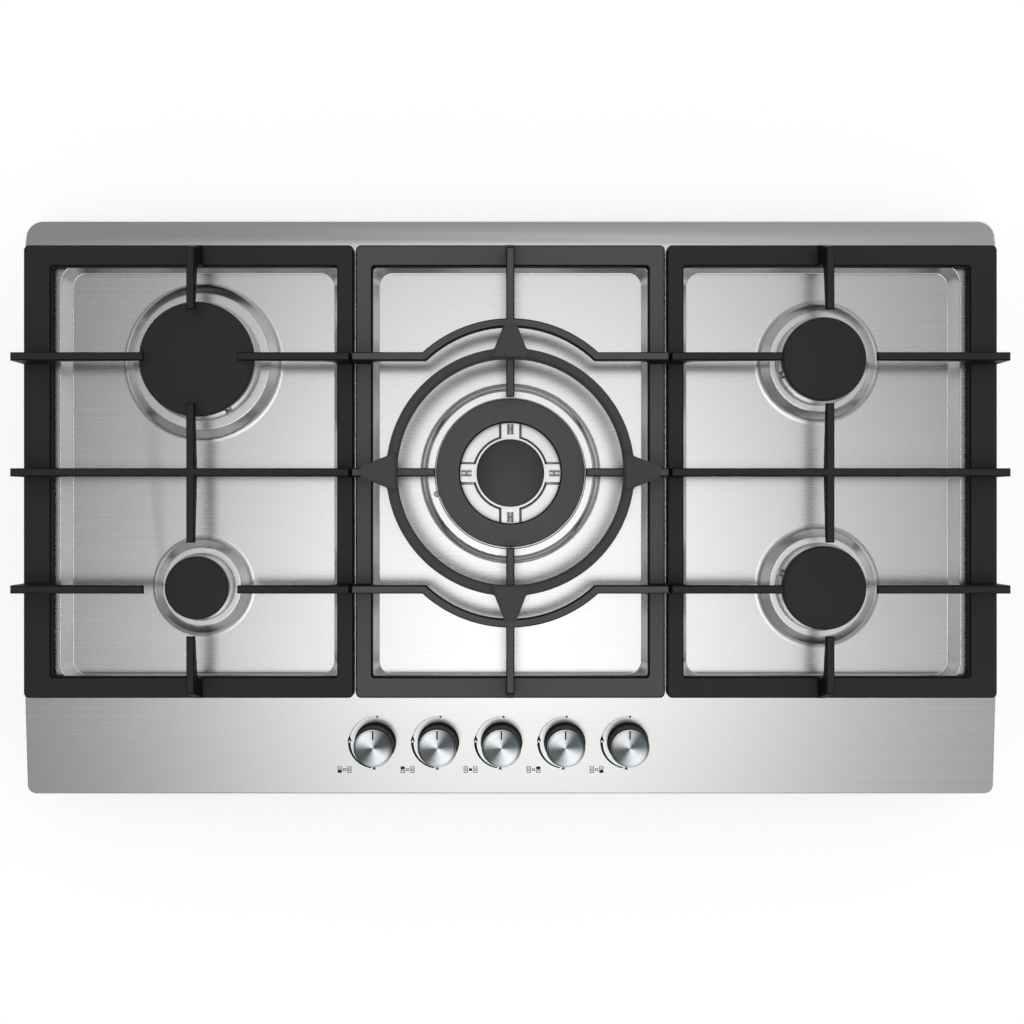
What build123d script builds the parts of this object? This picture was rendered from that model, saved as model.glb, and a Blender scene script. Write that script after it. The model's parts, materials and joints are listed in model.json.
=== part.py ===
from build123d import *
import math
import os

os.makedirs("parts", exist_ok=True)

# A five-burner gas cooktop for a worktop cut-out, in millimetres.
# X runs to the right, Y to the rear and Z up. The origin lies on the underside of the
# bottom box, below the middle of the top plate.

# --- clearances ---
seat_gap = 0.3            # under a piece that rests on another and lifts off
slip_gap = 0.5            # round a piece that drops into another
stem_gap = 0.1            # round a rubber stem in its hole

# --- top plate ---
plate_width = 860.0
plate_depth = 510.0
plate_sheet = 1.0
plate_rise = 8.0          # deck above the worktop
rear_corner = 14.0
front_corner = 8.0
plate_edge_round = 1.5
apron_length = 85.0       # sloping strip in front, which holds the knobs
rear_strip = 23.0         # sloping strip behind the pan supports
edge_drop = 6.0           # fall of both strips to the plate's edge

# --- pressed pans ---
side_ridge = 32.0         # plate's ends to the side pans
middle_ridge = 23.0       # between two pans
front_ridge = 13.0        # apron to the pans
rear_ridge = 15.0         # pans to the rear strip
pan_wall = 8.4            # sloping wall seen from above
pan_sink = 7.0
pan_rim_corner = 20.0
pan_floor_corner = 12.0
pan_round = 1.5

# --- raised burner seats ---
seat_rise = 8.0           # above the pan floor
seat_round = 2.5

# --- bottom box ---
box_height = 52.0         # worktop plane above the box's underside
box_end_inset = 18.0      # plate's ends to the box
box_side_inset = 20.0     # plate's front and rear edges to the box
box_sheet = 1.0
box_corner = 4.0
recess_width = 80.0       # stepped corner over the gas inlet
recess_depth = 62.0
recess_height = 22.0
seal_width = 8.0
vent_count = 9
vent_length = 46.0
vent_width = 5.0
vent_pitch = 14.0

# --- burner places ---
rear_setback = 88.0       # pans' rear rim to the rear burners
front_setback = 87.0      # pans' front rim to the front burners

# --- burner sizes ---
rapid_cap = 100.0
rapid_seat = 143.0
rapid_seat_top = 121.0
rapid_cup = 68.0
rapid_throat = 22.0
semi_cap = 73.0
semi_seat = 112.0
semi_seat_top = 88.5
semi_cup = 48.0
semi_throat = 18.0
aux_cap = 55.0
aux_seat = 92.0
aux_seat_top = 70.0
aux_cup = 30.0
aux_throat = 13.0
wok_seat = 162.0
wok_seat_top = 147.0
wok_cup = 92.0
wok_throat = 20.0
wok_cap_outer = 129.0
wok_cap_inner = 87.4
wok_middle_cap = 58.8
wok_head = 62.4           # rim of the middle head that shows round its cap
wok_head_foot = 66.6

cap_thick = 6.0
cap_round = 2.4
cap_lip = 2.0             # locating ring under a cap
crown_height = 12.0       # spreader's seat to the cap
crown_wall = 4.5
crown_inset = 1.5
flange_thick = 3.2
flange_reach = 2.3        # spreader's foot shows this far outside its cap
port_width = 1.8
port_depth = 5.5
port_pitch = 7.0          # along the crown
bridge_width = 15.5
bridge_foot = 21.0
bridge_slot = 6.2
bridge_slot_length = 9.3
bridge_slot_depth = 5.0

# --- cups, injectors and electrodes ---
cup_wall = 2.5
cup_drop = 30.0           # cup's floor below the deck
cup_flange = 3.5
cup_flange_thick = 2.0
cup_rim = 1.0             # rim above the raised seat
spreader_skirt = 5.0
throat_wall = 2.0
throat_length = 13.0
inlet_boss = 13.0
inlet_boss_length = 8.0
inlet_lift = 0.4          # boss above the cup's floor
injector_diameter = 9.0
injector_height = 9.0
ceramic_diameter = 4.8
ceramic_height = 6.0      # above the spreader's foot
spark_tip = 2.5
spark_wire = 1.4
wok_spark_radius = 67.3
wok_spark_angle = 195.6

# --- pan supports ---
support_gap = 2.0
support_front_lap = 10.0  # frames past the pans' front rim
support_rear_lap = 13.0
support_side_lap = 10.5   # centre frame past its pan's side rims
support_end = 3.3         # plate's ends to the side frames
side_member = 18.5        # frame members front and rear
outer_member = 24.0
inner_member = 14.4
frame_height = 8.5
frame_corner = 4.5
frame_chamfer = 1.2
channel_wall = 4.0
channel_depth = 3.5
foot_height = 2.0
foot_diameter = 9.0
foot_stem = 4.0
foot_stem_length = 4.0
foot_margin = 0.8         # inner feet from the frame's outer edge
bar_top = 39.0            # above the deck
bar_width = 7.0
bar_depth = 9.0
tip_depth = 4.0
root_round = 12.0
tip_round = 1.8
bar_chamfer = 0.9
end_slope = 8.0
finger_reach = 40.0       # burner's middle to the fingertips
centre_reach = 64.5
arch_end_gap = 14.9       # wok ring's band to the arches' ends
arch_crest_gap = 19.5     # wok ring's band to the arches' crests

# --- wok ring ---
ring_outer = 210.0
ring_band = 9.0
ring_height = 14.0
ring_round = 3.0
lug_width = 33.0
lug_prong = 5.0           # below the band
lug_reach = 126.0
lug_tip = 9.0
lug_tip_height = 6.0
lug_rise = 9.0
lug_shoulder = 4.0
notch_depth = 7.0

# --- knobs and valves ---
knob_pitch = 56.0
knob_middle = -7.8
knob_setback = 46.5       # plate's front edge to the knob row
knob_diameter = 35.0
knob_height = 20.0
knob_teeth = 36
tooth_depth = 0.7
knob_wall = 2.0
knob_travel = 3.5
disc_diameter = 33.0
disc_thick = 0.8
pointer_width = 1.4
pointer_length = 8.0
bezel_diameter = 37.0
bezel_thick = 1.2
bezel_boss = 26.0
bezel_boss_height = 4.0
bezel_neck = 12.0
spindle_diameter = 6.0
spindle_flat = 1.5
spindle_socket = 7.0
valve_depth = 14.0        # valve's top below the apron
valve_width = 18.0
valve_length = 26.0
valve_height = 22.0
plug_diameter = 10.0
plug_height = 14.0
outlet_diameter = 10.0
outlet_length = 7.0
switch_width = 9.0
switch_length = 8.0
switch_height = 10.0
rail_size = 14.0
rail_wall = 1.5
rail_overhang = 24.0
rail_leg = 18.0

# --- pipes and leads ---
pipe_diameter = 7.0
pipe_bend = 12.0
pipe_aside = 78.0         # side burners' column to the rear feed pipes
supply_diameter = 10.0
supply_bend = 24.0
lead_diameter = 2.4
lead_bend = 12.0
lead_height = 12.0        # below the deck's pans
stub_diameter = 20.96
stub_length = 15.0
stub_shoulder = 1.5
stub_bore = 14.0
elbow_wall = 2.0
elbow_mouth = 4.0        # mouth's length past the hexagon
nut_across = 24.0
nut_height = 8.0

# --- burner rails, ignition box, clamps, gland ---
burner_rail_width = 36.0
burner_rail_foot = 10.0
burner_rail_sheet = 1.2
burner_rail_margin = 30.0
module_width = 62.0
module_length = 44.0
module_height = 24.0
clamp_width = 20.0
clamp_sheet = 1.5
clamp_height = 16.0
clamp_reach = 13.0
clamp_drop = 30.0         # worktop plane to the clamp's top
clamp_screw = 5.0
clamp_setback = 112.0     # box's ends to the clamps
gland_diameter = 20.0
gland_bore = 8.0
gland_reach = 9.0
gland_setback = 82.0      # box's left end to the gland
gland_z = 30.0
module_setback = 62.0     # box's left end to the ignition box
module_back = 43.0        # box's rear to the ignition box

# --- sizes that follow ---
pan_width = (plate_width - 2 * side_ridge - 2 * middle_ridge) / 3
pan_pitch = pan_width + middle_ridge
pan_length = plate_depth - apron_length - rear_strip - front_ridge - rear_ridge
pan_middle = (apron_length + front_ridge - rear_strip - rear_ridge) / 2
box_width = plate_width - 2 * box_end_inset
box_depth = plate_depth - 2 * box_side_inset
support_depth = pan_length + support_front_lap + support_rear_lap
support_middle = pan_middle + (support_rear_lap - support_front_lap) / 2
centre_frame_width = pan_width + 2 * support_side_lap
side_frame_width = (plate_width - centre_frame_width) / 2 - support_gap - support_end

# --- levels and places that follow ---
worktop_z = box_height
deck_z = worktop_z + plate_rise
pan_floor_z = deck_z - pan_sink
seat_z = pan_floor_z + seat_rise
seat_under_z = seat_z - plate_sheet
cup_floor_z = deck_z - cup_drop
cup_rim_z = seat_z + cup_rim
spreader_z = cup_rim_z + seat_gap
cap_z = spreader_z + crown_height + seat_gap
bar_z = deck_z + bar_top
frame_z = deck_z + seat_gap + foot_height
frame_top_z = frame_z + frame_height
pipe_z = cup_floor_z + inlet_boss / 2 + inlet_lift
rear_row = pan_middle + pan_length / 2 - rear_setback
front_row = pan_middle - pan_length / 2 + front_setback
arch_row = min(rear_row - pan_middle, pan_middle - front_row)
arch_reach = ring_outer / 2 + bar_width / 2 + arch_end_gap
arched = arch_row < arch_reach  # a row that passes clear of the wok ring runs straight
arch_half = math.sqrt(arch_reach ** 2 - arch_row ** 2) if arched else 0.0
arch_rise = ring_outer / 2 + bar_width / 2 + arch_crest_gap - arch_row
knob_back = plate_depth / 2 - knob_setback
gland_x = gland_setback - box_width / 2
clamp_x = box_width / 2 - clamp_setback
apron_break = apron_length - plate_depth / 2
apron_tilt = math.degrees(math.atan2(edge_drop, apron_length))
knob_z = deck_z - edge_drop * (apron_break + knob_back) / apron_length
knob_xs = [knob_middle + knob_pitch * (i - 2) for i in range(5)]
sides = (-1, 1)


def spun(points):
    """A solid of revolution about Z from a closed outline of (radius, height) points."""
    return revolve(Plane.XZ * make_face(Polyline(*points, close=True)), Axis.Z)


def tube_ring(radius_in, radius_out, low, high):
    """A plain ring about Z between two heights."""
    return spun([(radius_in, low), (radius_out, low), (radius_out, high), (radius_in, high)])


def disc(radius, low, high):
    """A plain round slab about Z between two heights."""
    return Pos(0, 0, low) * extrude(Circle(radius), high - low)


def slab(outline, low, high):
    """A flat outline drawn in XY, raised between two heights."""
    return extrude(Pos(0, 0, low) * outline, high - low)


def around(count, shape, start=0.0):
    """Copies of a shape evenly round Z."""
    return [Rot(0, 0, start + 360 * i / count) * shape for i in range(count)]


def pipe(points, radius, diameter):
    """A round tube or wire along straight runs joined by tangent bends."""
    path = FilletPolyline(*points, radius=radius)
    start = Plane(origin=path @ 0, z_dir=path % 0)
    return sweep(start * Circle(diameter / 2), path=path)


def save(name, shape):
    """Writes one piece, or one group of alike pieces, as its own file."""
    export_step(Compound(children=shape.solids()) if len(shape.solids()) > 1 else shape.solids()[0],
                "parts/" + name + ".step")


class Burner:
    """One burner place with the sizes of its cap, raised seat, cup and throat."""

    def __init__(self, name, x, y, cap, seat, seat_top, cup, throat, spark_angle):
        self.name = name
        self.x = x
        self.y = y
        self.cap = cap / 2
        self.seat = seat / 2
        self.seat_top = seat_top / 2
        self.cup = cup / 2
        self.cup_inside = cup / 2 - cup_wall
        self.throat = throat / 2
        self.spark_angle = spark_angle
        self.crown = self.cap - crown_inset
        self.spark_radius = self.crown - crown_wall / 2
        self.place = Pos(x, y, 0)

    def spark_place(self):
        """Where the electrode stands, seen from above."""
        turn = math.radians(self.spark_angle)
        return Pos(self.x + self.spark_radius * math.cos(turn), self.y + self.spark_radius * math.sin(turn), 0)


rapid = Burner("rear_left", -pan_pitch, rear_row, rapid_cap, rapid_seat, rapid_seat_top, rapid_cup,
               rapid_throat, -60.0)
aux = Burner("front_left", -pan_pitch, front_row, aux_cap, aux_seat, aux_seat_top, aux_cup, aux_throat, 160.0)
wok = Burner("centre", 0.0, pan_middle, wok_cap_outer, wok_seat, wok_seat_top, wok_cup, wok_throat,
             wok_spark_angle)
wok.spark_radius = wok_spark_radius
semi_rear = Burner("rear_right", pan_pitch, rear_row, semi_cap, semi_seat, semi_seat_top, semi_cup,
                   semi_throat, 200.0)
semi_front = Burner("front_right", pan_pitch, front_row, semi_cap, semi_seat, semi_seat_top, semi_cup,
                    semi_throat, 160.0)
burners = [aux, rapid, wok, semi_rear, semi_front]      # in the order of the knobs, from the left


# --- top plate: one pressing, its pans sunk and its burner seats raised again ---

def plate_outline(inset):
    """Seen from above: round corners, larger at the rear."""
    outline = Rectangle(plate_width - 2 * inset, plate_depth - 2 * inset)
    outline = fillet(outline.vertices().group_by(Axis.Y)[-1], max(rear_corner - inset, plate_sheet))
    return fillet(outline.vertices().group_by(Axis.Y)[0], max(front_corner - inset, plate_sheet))


def pan_cutter(x):
    """The hollow of one pan, with sloping walls and a round foot."""
    rim = Pos(x, pan_middle, deck_z) * RectangleRounded(pan_width, pan_length, pan_rim_corner)
    floor = Pos(x, pan_middle, pan_floor_z) * RectangleRounded(
        pan_width - 2 * pan_wall, pan_length - 2 * pan_wall, pan_floor_corner)
    hollow = loft([floor, rim])
    hollow = fillet(hollow.edges().group_by(Axis.Z)[0], pan_round)
    return hollow + extrude(rim, plate_rise)


def stamping(inset):
    """All that lies under the pressed surface, down past the worktop plane."""
    base = min(worktop_z, pan_floor_z) - 4 * plate_sheet
    half = plate_depth / 2
    side = make_face(Polyline((-half, base), (-half, deck_z - edge_drop), (apron_break, deck_z),
                              (half - rear_strip, deck_z), (half, deck_z - edge_drop), (half, base),
                              close=True))
    body = extrude(Plane.YZ * side, plate_width / 2, both=True)
    body &= slab(plate_outline(inset), base, deck_z)
    for column in (-1, 0, 1):
        body -= pan_cutter(column * pan_pitch)
    for b in burners:
        body += b.place * Pos(0, 0, pan_floor_z - plate_sheet) * Cylinder(
            b.seat, plate_sheet, align=(Align.CENTER, Align.CENTER, Align.MIN))
        body += b.place * Pos(0, 0, pan_floor_z) * Cone(
            b.seat, b.seat_top, seat_rise, align=(Align.CENTER, Align.CENTER, Align.MIN))
    rings = body.edges().filter_by(GeomType.CIRCLE)
    body = fillet(rings.filter_by_position(Axis.Z, seat_z - 0.1, seat_z + 0.1), seat_round)
    level = body.edges().filter_by_position(Axis.Z, deck_z - 0.01, deck_z + 0.01)
    pan_reach = pan_pitch + pan_width / 2 + 0.1
    rims = level.filter_by_position(Axis.X, -pan_reach, pan_reach)
    rims = rims.filter_by_position(Axis.Y, pan_middle - pan_length / 2 - 0.1, pan_middle + pan_length / 2 + 0.1)
    body = fillet(rims, pan_round)
    crown = [e for e in body.edges() if on_plate_edge(e.center(), inset)]
    return fillet(crown, plate_edge_round)


def on_plate_edge(point, inset):
    """True on the upper outline of the plate, false on its upright corners."""
    out_x = abs(point.X) > plate_width / 2 - inset - rear_corner / 3
    out_y = abs(point.Y) > plate_depth / 2 - inset - rear_corner / 3
    high = point.Z > deck_z - edge_drop - 0.1
    return high and (out_x or out_y)


def top_plate():
    """The pressed sheet with its turned-down edge and its holes."""
    sheet = stamping(0) - Pos(0, 0, -plate_sheet) * stamping(plate_sheet)
    below = slab(Rectangle(plate_width + 10, plate_depth + 10) - plate_outline(2 * plate_sheet),
                 worktop_z - 10 * plate_sheet, worktop_z)
    sheet -= below
    for b in burners:
        sheet -= b.place * disc(b.cup + slip_gap, seat_under_z - 5, seat_z + 5)
        sheet -= b.spark_place() * disc(ceramic_diameter / 2 + slip_gap, seat_under_z - 5, seat_z + 5)
    for x in knob_xs:
        sheet -= knob_frame(x) * disc(bezel_neck / 2 + slip_gap, -5, 5)
    return sheet


def knob_frame(x):
    """Stands on the apron, square to its slope, at one knob."""
    return Location((x, -knob_back, knob_z), (apron_tilt, 0, 0))


# --- burners ---

def burner_cup(b):
    """Cast cup below the raised seat, with its flange, its rim and the boss for the feed pipe."""
    flange = b.cup + cup_flange
    flange_z = seat_under_z - cup_flange_thick
    floor_top = cup_floor_z + cup_wall
    cup = spun([(0, cup_floor_z), (b.cup, cup_floor_z), (b.cup, flange_z), (flange, flange_z),
                (flange, seat_under_z), (b.cup, seat_under_z), (b.cup, cup_rim_z),
                (b.cup_inside, cup_rim_z), (b.cup_inside, floor_top), (0, floor_top)])
    boss = Plane(origin=(0, -b.cup_inside - cup_wall / 2, pipe_z), z_dir=(0, -1, 0)) * Circle(inlet_boss / 2)
    cup += extrude(boss, cup_wall / 2 + inlet_boss_length)
    return b.place * cup


def injector(b):
    """Brass nozzle on the cup's floor, under the throat."""
    low = cup_floor_z + cup_wall
    top = low + injector_height
    shoulder = low + injector_height / 2
    radius = injector_diameter / 2
    nozzle = slab(RegularPolygon(radius, 6), low, shoulder)
    nozzle += spun([(0, shoulder), (radius * 0.8, shoulder), (radius * 0.6, top), (0, top)])
    return b.place * nozzle


def throat_and_skirt(b):
    """What a spreader has below its foot: the throat and a skirt that drops into the cup."""
    skirt = b.cup_inside - slip_gap
    throat = tube_ring(b.throat, b.throat + throat_wall, -throat_length, flange_thick / 2)
    return throat + tube_ring(skirt - throat_wall, skirt, -spreader_skirt, flange_thick / 2)


def port_count(radius):
    """As many flame ports as the pitch gives round a crown."""
    return int(2 * math.pi * radius / port_pitch)


def ports(radius, depth):
    """Open slots through a crown's wall at its top."""
    slot = Pos(radius, 0, crown_height - depth / 2) * Box(crown_wall * 1.6, port_width, depth)
    return around(port_count(radius), slot)


def spark_notch(b):
    """Clears the electrode through the spreader's whole height."""
    turn = Rot(0, 0, b.spark_angle)
    width = ceramic_diameter + 3 * slip_gap
    return turn * Pos(b.spark_radius + crown_wall, 0, crown_height / 2) * Box(
        2 * crown_wall + width, width, crown_height + 4 * flange_thick)


def flame_spreader(b):
    """Cast ring with a bevelled foot, a crown with flame ports, a throat and a skirt."""
    foot = b.cap + flange_reach
    crown_in = b.crown - crown_wall
    cone_top = b.throat + throat_wall
    spreader = spun([(b.throat, 0), (foot - 1, 0), (foot, 1), (foot, flange_thick - 1), (foot - 1, flange_thick),
                     (b.crown, flange_thick + 0.5), (b.crown, crown_height), (crown_in, crown_height),
                     (crown_in, flange_thick), (cone_top + 2, flange_thick), (cone_top, crown_height / 2),
                     (b.throat, crown_height / 2)])
    spreader += throat_and_skirt(b)
    spreader -= ports(b.crown - crown_wall / 2, port_depth)
    spreader -= spark_notch(b)
    return b.place * Pos(0, 0, spreader_z) * spreader


def burner_cap(b):
    """Round cap with a rounded edge and a lip that keeps it on the crown."""
    cap = disc(b.cap, 0, cap_thick)
    cap = fillet(cap.edges().group_by(Axis.Z)[-1], cap_round)
    cap = chamfer(cap.edges().group_by(Axis.Z)[0], 0.6)
    lip = b.crown - crown_wall - slip_gap
    cap += tube_ring(lip - 1.6, lip, -cap_lip, 0)
    return b.place * Pos(0, 0, cap_z) * cap


def wok_spreader():
    """One casting: a ring of flames, a middle head and four bridges that feed the ring."""
    b = wok
    foot = b.cap + flange_reach
    ring_in = wok_cap_inner / 2 + crown_inset
    head = wok_head / 2
    head_foot = wok_head_foot / 2
    casting = spun([(b.throat, 0), (foot - 1, 0), (foot, 1), (foot, flange_thick - 1), (foot - 1, flange_thick),
                    (b.throat, flange_thick)])
    casting += throat_and_skirt(b)
    casting += tube_ring(b.crown - crown_wall, b.crown, flange_thick / 2, crown_height)
    casting += tube_ring(ring_in, ring_in + crown_wall, flange_thick / 2, crown_height)
    casting -= ports(b.crown - crown_wall / 2, port_depth)
    casting -= ports(ring_in + crown_wall / 2, port_depth / 2)
    head_top = crown_height
    casting += spun([(head - crown_wall, flange_thick / 2), (head_foot, flange_thick / 2),
                     (head_foot, crown_height * 0.6), (head, crown_height * 0.8), (head, head_top),
                     (head - crown_wall, head_top)])
    bridge_out = ring_in + crown_wall / 2
    bridge = extrude(Plane.YZ * make_face(Polyline(
        (-bridge_foot / 2, flange_thick / 2), (bridge_foot / 2, flange_thick / 2),
        (bridge_width / 2, crown_height - 1), (-bridge_width / 2, crown_height - 1), close=True)),
        bridge_out - head + crown_wall / 2)
    bridge = Pos(head - crown_wall / 2, 0, 0) * bridge
    slot_middle = (head + ring_in) / 2 + 0.3
    slot = Pos(slot_middle, 0, crown_height - 1 - bridge_slot_depth / 2) * Box(
        bridge_slot_length, bridge_slot, bridge_slot_depth)
    casting += around(4, bridge)
    casting -= around(4, slot)
    casting -= spark_notch(b)
    return b.place * Pos(0, 0, spreader_z) * casting


def wok_ring_cap():
    """Flat ring with round shoulders over the ring of flames."""
    cap = tube_ring(wok_cap_inner / 2, wok_cap_outer / 2, 0, cap_thick)
    cap = fillet(cap.edges().group_by(Axis.Z)[-1], cap_round)
    lip = wok.crown - crown_wall - slip_gap
    cap += tube_ring(lip - 1.6, lip, -cap_lip, 0)
    return wok.place * Pos(0, 0, cap_z) * cap


def wok_inner_cap():
    """Small cap of the middle head, inside the head's bright rim."""
    radius = wok_middle_cap / 2
    cap = disc(radius, 0, cap_thick)
    cap = fillet(cap.edges().group_by(Axis.Z)[-1], cap_round)
    lip = wok_head / 2 - crown_wall - slip_gap
    cap += tube_ring(lip - 1.6, lip, -cap_lip, 0)
    return wok.place * Pos(0, 0, cap_z) * cap


def electrode(b):
    """White ceramic rod with its spark wire and a collar under the plate."""
    top = spreader_z + flange_thick + ceramic_height
    if b is not wok:
        top = spreader_z + flange_thick + ceramic_height / 2
    radius = ceramic_diameter / 2
    low = worktop_z - lead_height
    rod = spun([(0, low), (radius, low), (radius, seat_under_z - 2.5), (radius + 2, seat_under_z - 2.5),
                (radius + 2, seat_under_z), (radius, seat_under_z), (radius, top - 0.8), (radius - 0.8, top),
                (spark_wire / 2, top), (spark_wire / 2, top + spark_tip), (0, top + spark_tip)])
    return b.spark_place() * rod


# --- pan supports: cast frames with bars that taper to fingertips ---

def near_corner(face, point, radius):
    """Rounds the corner of a flat outline that lies nearest to a point."""
    corner = face.vertices().sort_by_distance(Vector(*point, 0))[0]
    return fillet(corner, radius)


def raised_bar(outline, rounds):
    """A bar's side view, rounded at the named corners and given the bars' width, along X."""
    face = make_face(Polyline(*outline, close=True))
    for point, radius in rounds:
        face = near_corner(face, point, radius)
    return extrude(Plane.XZ * face, bar_width / 2, both=True)


def finger(length, member, slope):
    """From the outer edge of a frame member at X = 0 to a free tip."""
    root = (member, bar_z - bar_depth)
    tip = (length, bar_z - tip_depth)
    outline = [(0, frame_z + 1), (0, frame_top_z), (slope, bar_z), (length, bar_z), tip,
               (member + root_round, bar_z - bar_depth), root, (member, frame_z + 1)]
    return raised_bar(outline, [(root, root_round * 0.9), (tip, tip_round)])


def span(length, near_member, far_member, slope):
    """From one frame member to the other."""
    near = (near_member, bar_z - bar_depth)
    far = (length - far_member, bar_z - bar_depth)
    outline = [(0, frame_z + 1), (0, frame_top_z), (slope, bar_z), (length - slope, bar_z),
               (length, frame_top_z), (length, frame_z + 1), (length - far_member, frame_z + 1), far, near,
               (near_member, frame_z + 1)]
    return raised_bar(outline, [(near, root_round), (far, root_round)])


def double_finger(reach_near, reach_far):
    """Two fingers that grow out of a crossing bar at X = 0."""
    near = (-reach_near, bar_z - tip_depth)
    far = (reach_far, bar_z - tip_depth)
    root = bar_width * 1.5
    outline = [near, (-reach_near, bar_z), (reach_far, bar_z), far, (root, bar_z - bar_depth),
               (-root, bar_z - bar_depth)]
    return raised_bar(outline, [(near, tip_round), (far, tip_round)])


def support_frame(width, member_left, member_right, feet):
    """The flat frame, hollow below, with a boss over each rubber foot. Its middle is at X = 0."""
    outer = RectangleRounded(width, support_depth, frame_corner)
    hole_width = width - member_left - member_right
    hole_depth = support_depth - 2 * side_member
    hole_x = (member_left - member_right) / 2
    hole = Pos(hole_x, 0) * RectangleRounded(hole_width, hole_depth, frame_corner / 2)
    frame = slab(outer - hole, frame_z, frame_top_z)
    frame = chamfer(frame.edges().group_by(Axis.Z)[-1], frame_chamfer)
    channel = Rectangle(width - 2 * channel_wall, support_depth - 2 * channel_wall)
    channel -= Pos(hole_x, 0) * Rectangle(hole_width + 2 * channel_wall, hole_depth + 2 * channel_wall)
    frame -= slab(channel, frame_z, frame_z + channel_depth)
    for place in feet:
        frame += place * disc(foot_diameter / 2 + foot_margin * 0.8, frame_z, frame_z + channel_depth + 1)
    for place in feet:
        frame -= place * disc(foot_stem / 2 + stem_gap, frame_z, frame_z + foot_stem_length + 0.5)
    return frame


def foot_places(left, right):
    """Four feet under the side members, at two distances from the frame's middle."""
    foot_y = support_depth / 2 - side_member / 2
    return [Pos(x, y * foot_y, 0) for x in (-left, right) for y in sides]


def support_feet(places):
    """Rubber pads with stems that push into the frame's bosses."""
    pad = spun([(0, deck_z + seat_gap), (foot_diameter / 2 - 0.5, deck_z + seat_gap),
                (foot_diameter / 2, deck_z + seat_gap + 0.5), (foot_diameter / 2, frame_z),
                (foot_stem / 2, frame_z), (foot_stem / 2, frame_z + foot_stem_length), (0, frame_z + foot_stem_length)])
    return [place * pad for place in places]


side_frame_x = centre_frame_width / 2 + support_gap + side_frame_width / 2
foot_inset = foot_diameter / 2 + foot_margin         # keeps the inner feet on the plate's ridges
support_place = Pos(0, support_middle, 0)


def to_frame_y(y):
    """A row's place seen from the middle of a support."""
    return y - support_middle


def side_support():
    """The left support about its own middle: two rings of four fingers round a middle bar."""
    half_width = side_frame_width / 2
    half_depth = support_depth / 2
    column = side_frame_x - pan_pitch
    feet = foot_places(half_width - outer_member / 2, half_width - foot_inset)
    support = support_frame(side_frame_width, outer_member, inner_member, feet)
    outer_length = half_width + column - finger_reach
    inner_length = half_width - column - finger_reach
    for row in (rear_row, front_row):
        y = to_frame_y(row)
        support += Pos(-half_width, y, 0) * finger(outer_length, outer_member, 0)
        support += Pos(half_width, y, 0) * Rot(0, 0, 180) * finger(inner_length, inner_member, 0)
    middle = to_frame_y(pan_middle)
    support += Pos(-half_width, middle, 0) * span(side_frame_width, outer_member, inner_member, 0)
    reach = rear_row - pan_middle - finger_reach
    reach_front = pan_middle - front_row - finger_reach
    support += Pos(column, middle, 0) * Rot(0, 0, -90) * double_finger(reach, reach_front)
    rear_length = half_depth - to_frame_y(rear_row) - finger_reach
    front_length = half_depth + to_frame_y(front_row) - finger_reach
    support += Pos(column, half_depth, 0) * Rot(0, 0, -90) * finger(rear_length, side_member, end_slope)
    support += Pos(column, -half_depth, 0) * Rot(0, 0, 90) * finger(front_length, side_member, end_slope)
    return soften(support), feet


def soften(support):
    """Takes the sharpness off the bars' upper edges."""
    top = support.edges().group_by(Axis.Z)[-1]
    return chamfer(top, bar_chamfer)


def arch():
    """The bent middle of a row of the centre support, rising towards +Y from the row at Y = 0."""
    radius = (arch_half ** 2 + arch_rise ** 2) / (2 * arch_rise)
    band = Circle(radius + bar_width / 2) - Circle(radius - bar_width / 2)
    band = Pos(0, arch_rise - radius) * band
    window = Pos(0, radius - bar_width / 2) * Rectangle(4 * radius, 2 * radius)
    return slab(band & window, bar_z - bar_depth, bar_z)


def centre_support():
    """The middle support: four long fingers and two arches round the wok burner."""
    half_width = centre_frame_width / 2
    half_depth = support_depth / 2
    feet = foot_places(half_width - foot_inset, half_width - foot_inset)
    support = support_frame(centre_frame_width, inner_member, inner_member, feet)
    middle = to_frame_y(pan_middle)
    for side in sides:
        turn = Rot(0, 0, 90 - 90 * side)
        end = Pos(-side * half_width, 0, 0)
        support += end * Pos(0, middle, 0) * turn * finger(half_width - centre_reach, inner_member, 0)
        for row in (rear_row, front_row):
            root = (inner_member, bar_z - bar_depth)
            length = half_width - arch_half + 1
            stub = raised_bar([(0, frame_z + 1), (0, bar_z), (length, bar_z), (length, bar_z - bar_depth), root,
                               (inner_member, frame_z + 1)], [(root, root_round)])
            support += end * Pos(0, to_frame_y(row), 0) * turn * stub
    if arched:
        support += Pos(0, to_frame_y(rear_row), 0) * arch()
        support += Pos(0, to_frame_y(front_row), 0) * Rot(0, 0, 180) * arch()
    rear_length = half_depth - middle - centre_reach
    front_length = half_depth + middle - centre_reach
    support += Pos(0, half_depth, 0) * Rot(0, 0, -90) * finger(rear_length, side_member, end_slope)
    support += Pos(0, -half_depth, 0) * Rot(0, 0, 90) * finger(front_length, side_member, end_slope)
    return soften(support), feet


# --- wok ring: a cast band with four lugs that straddle the centre support's fingers ---

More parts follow.
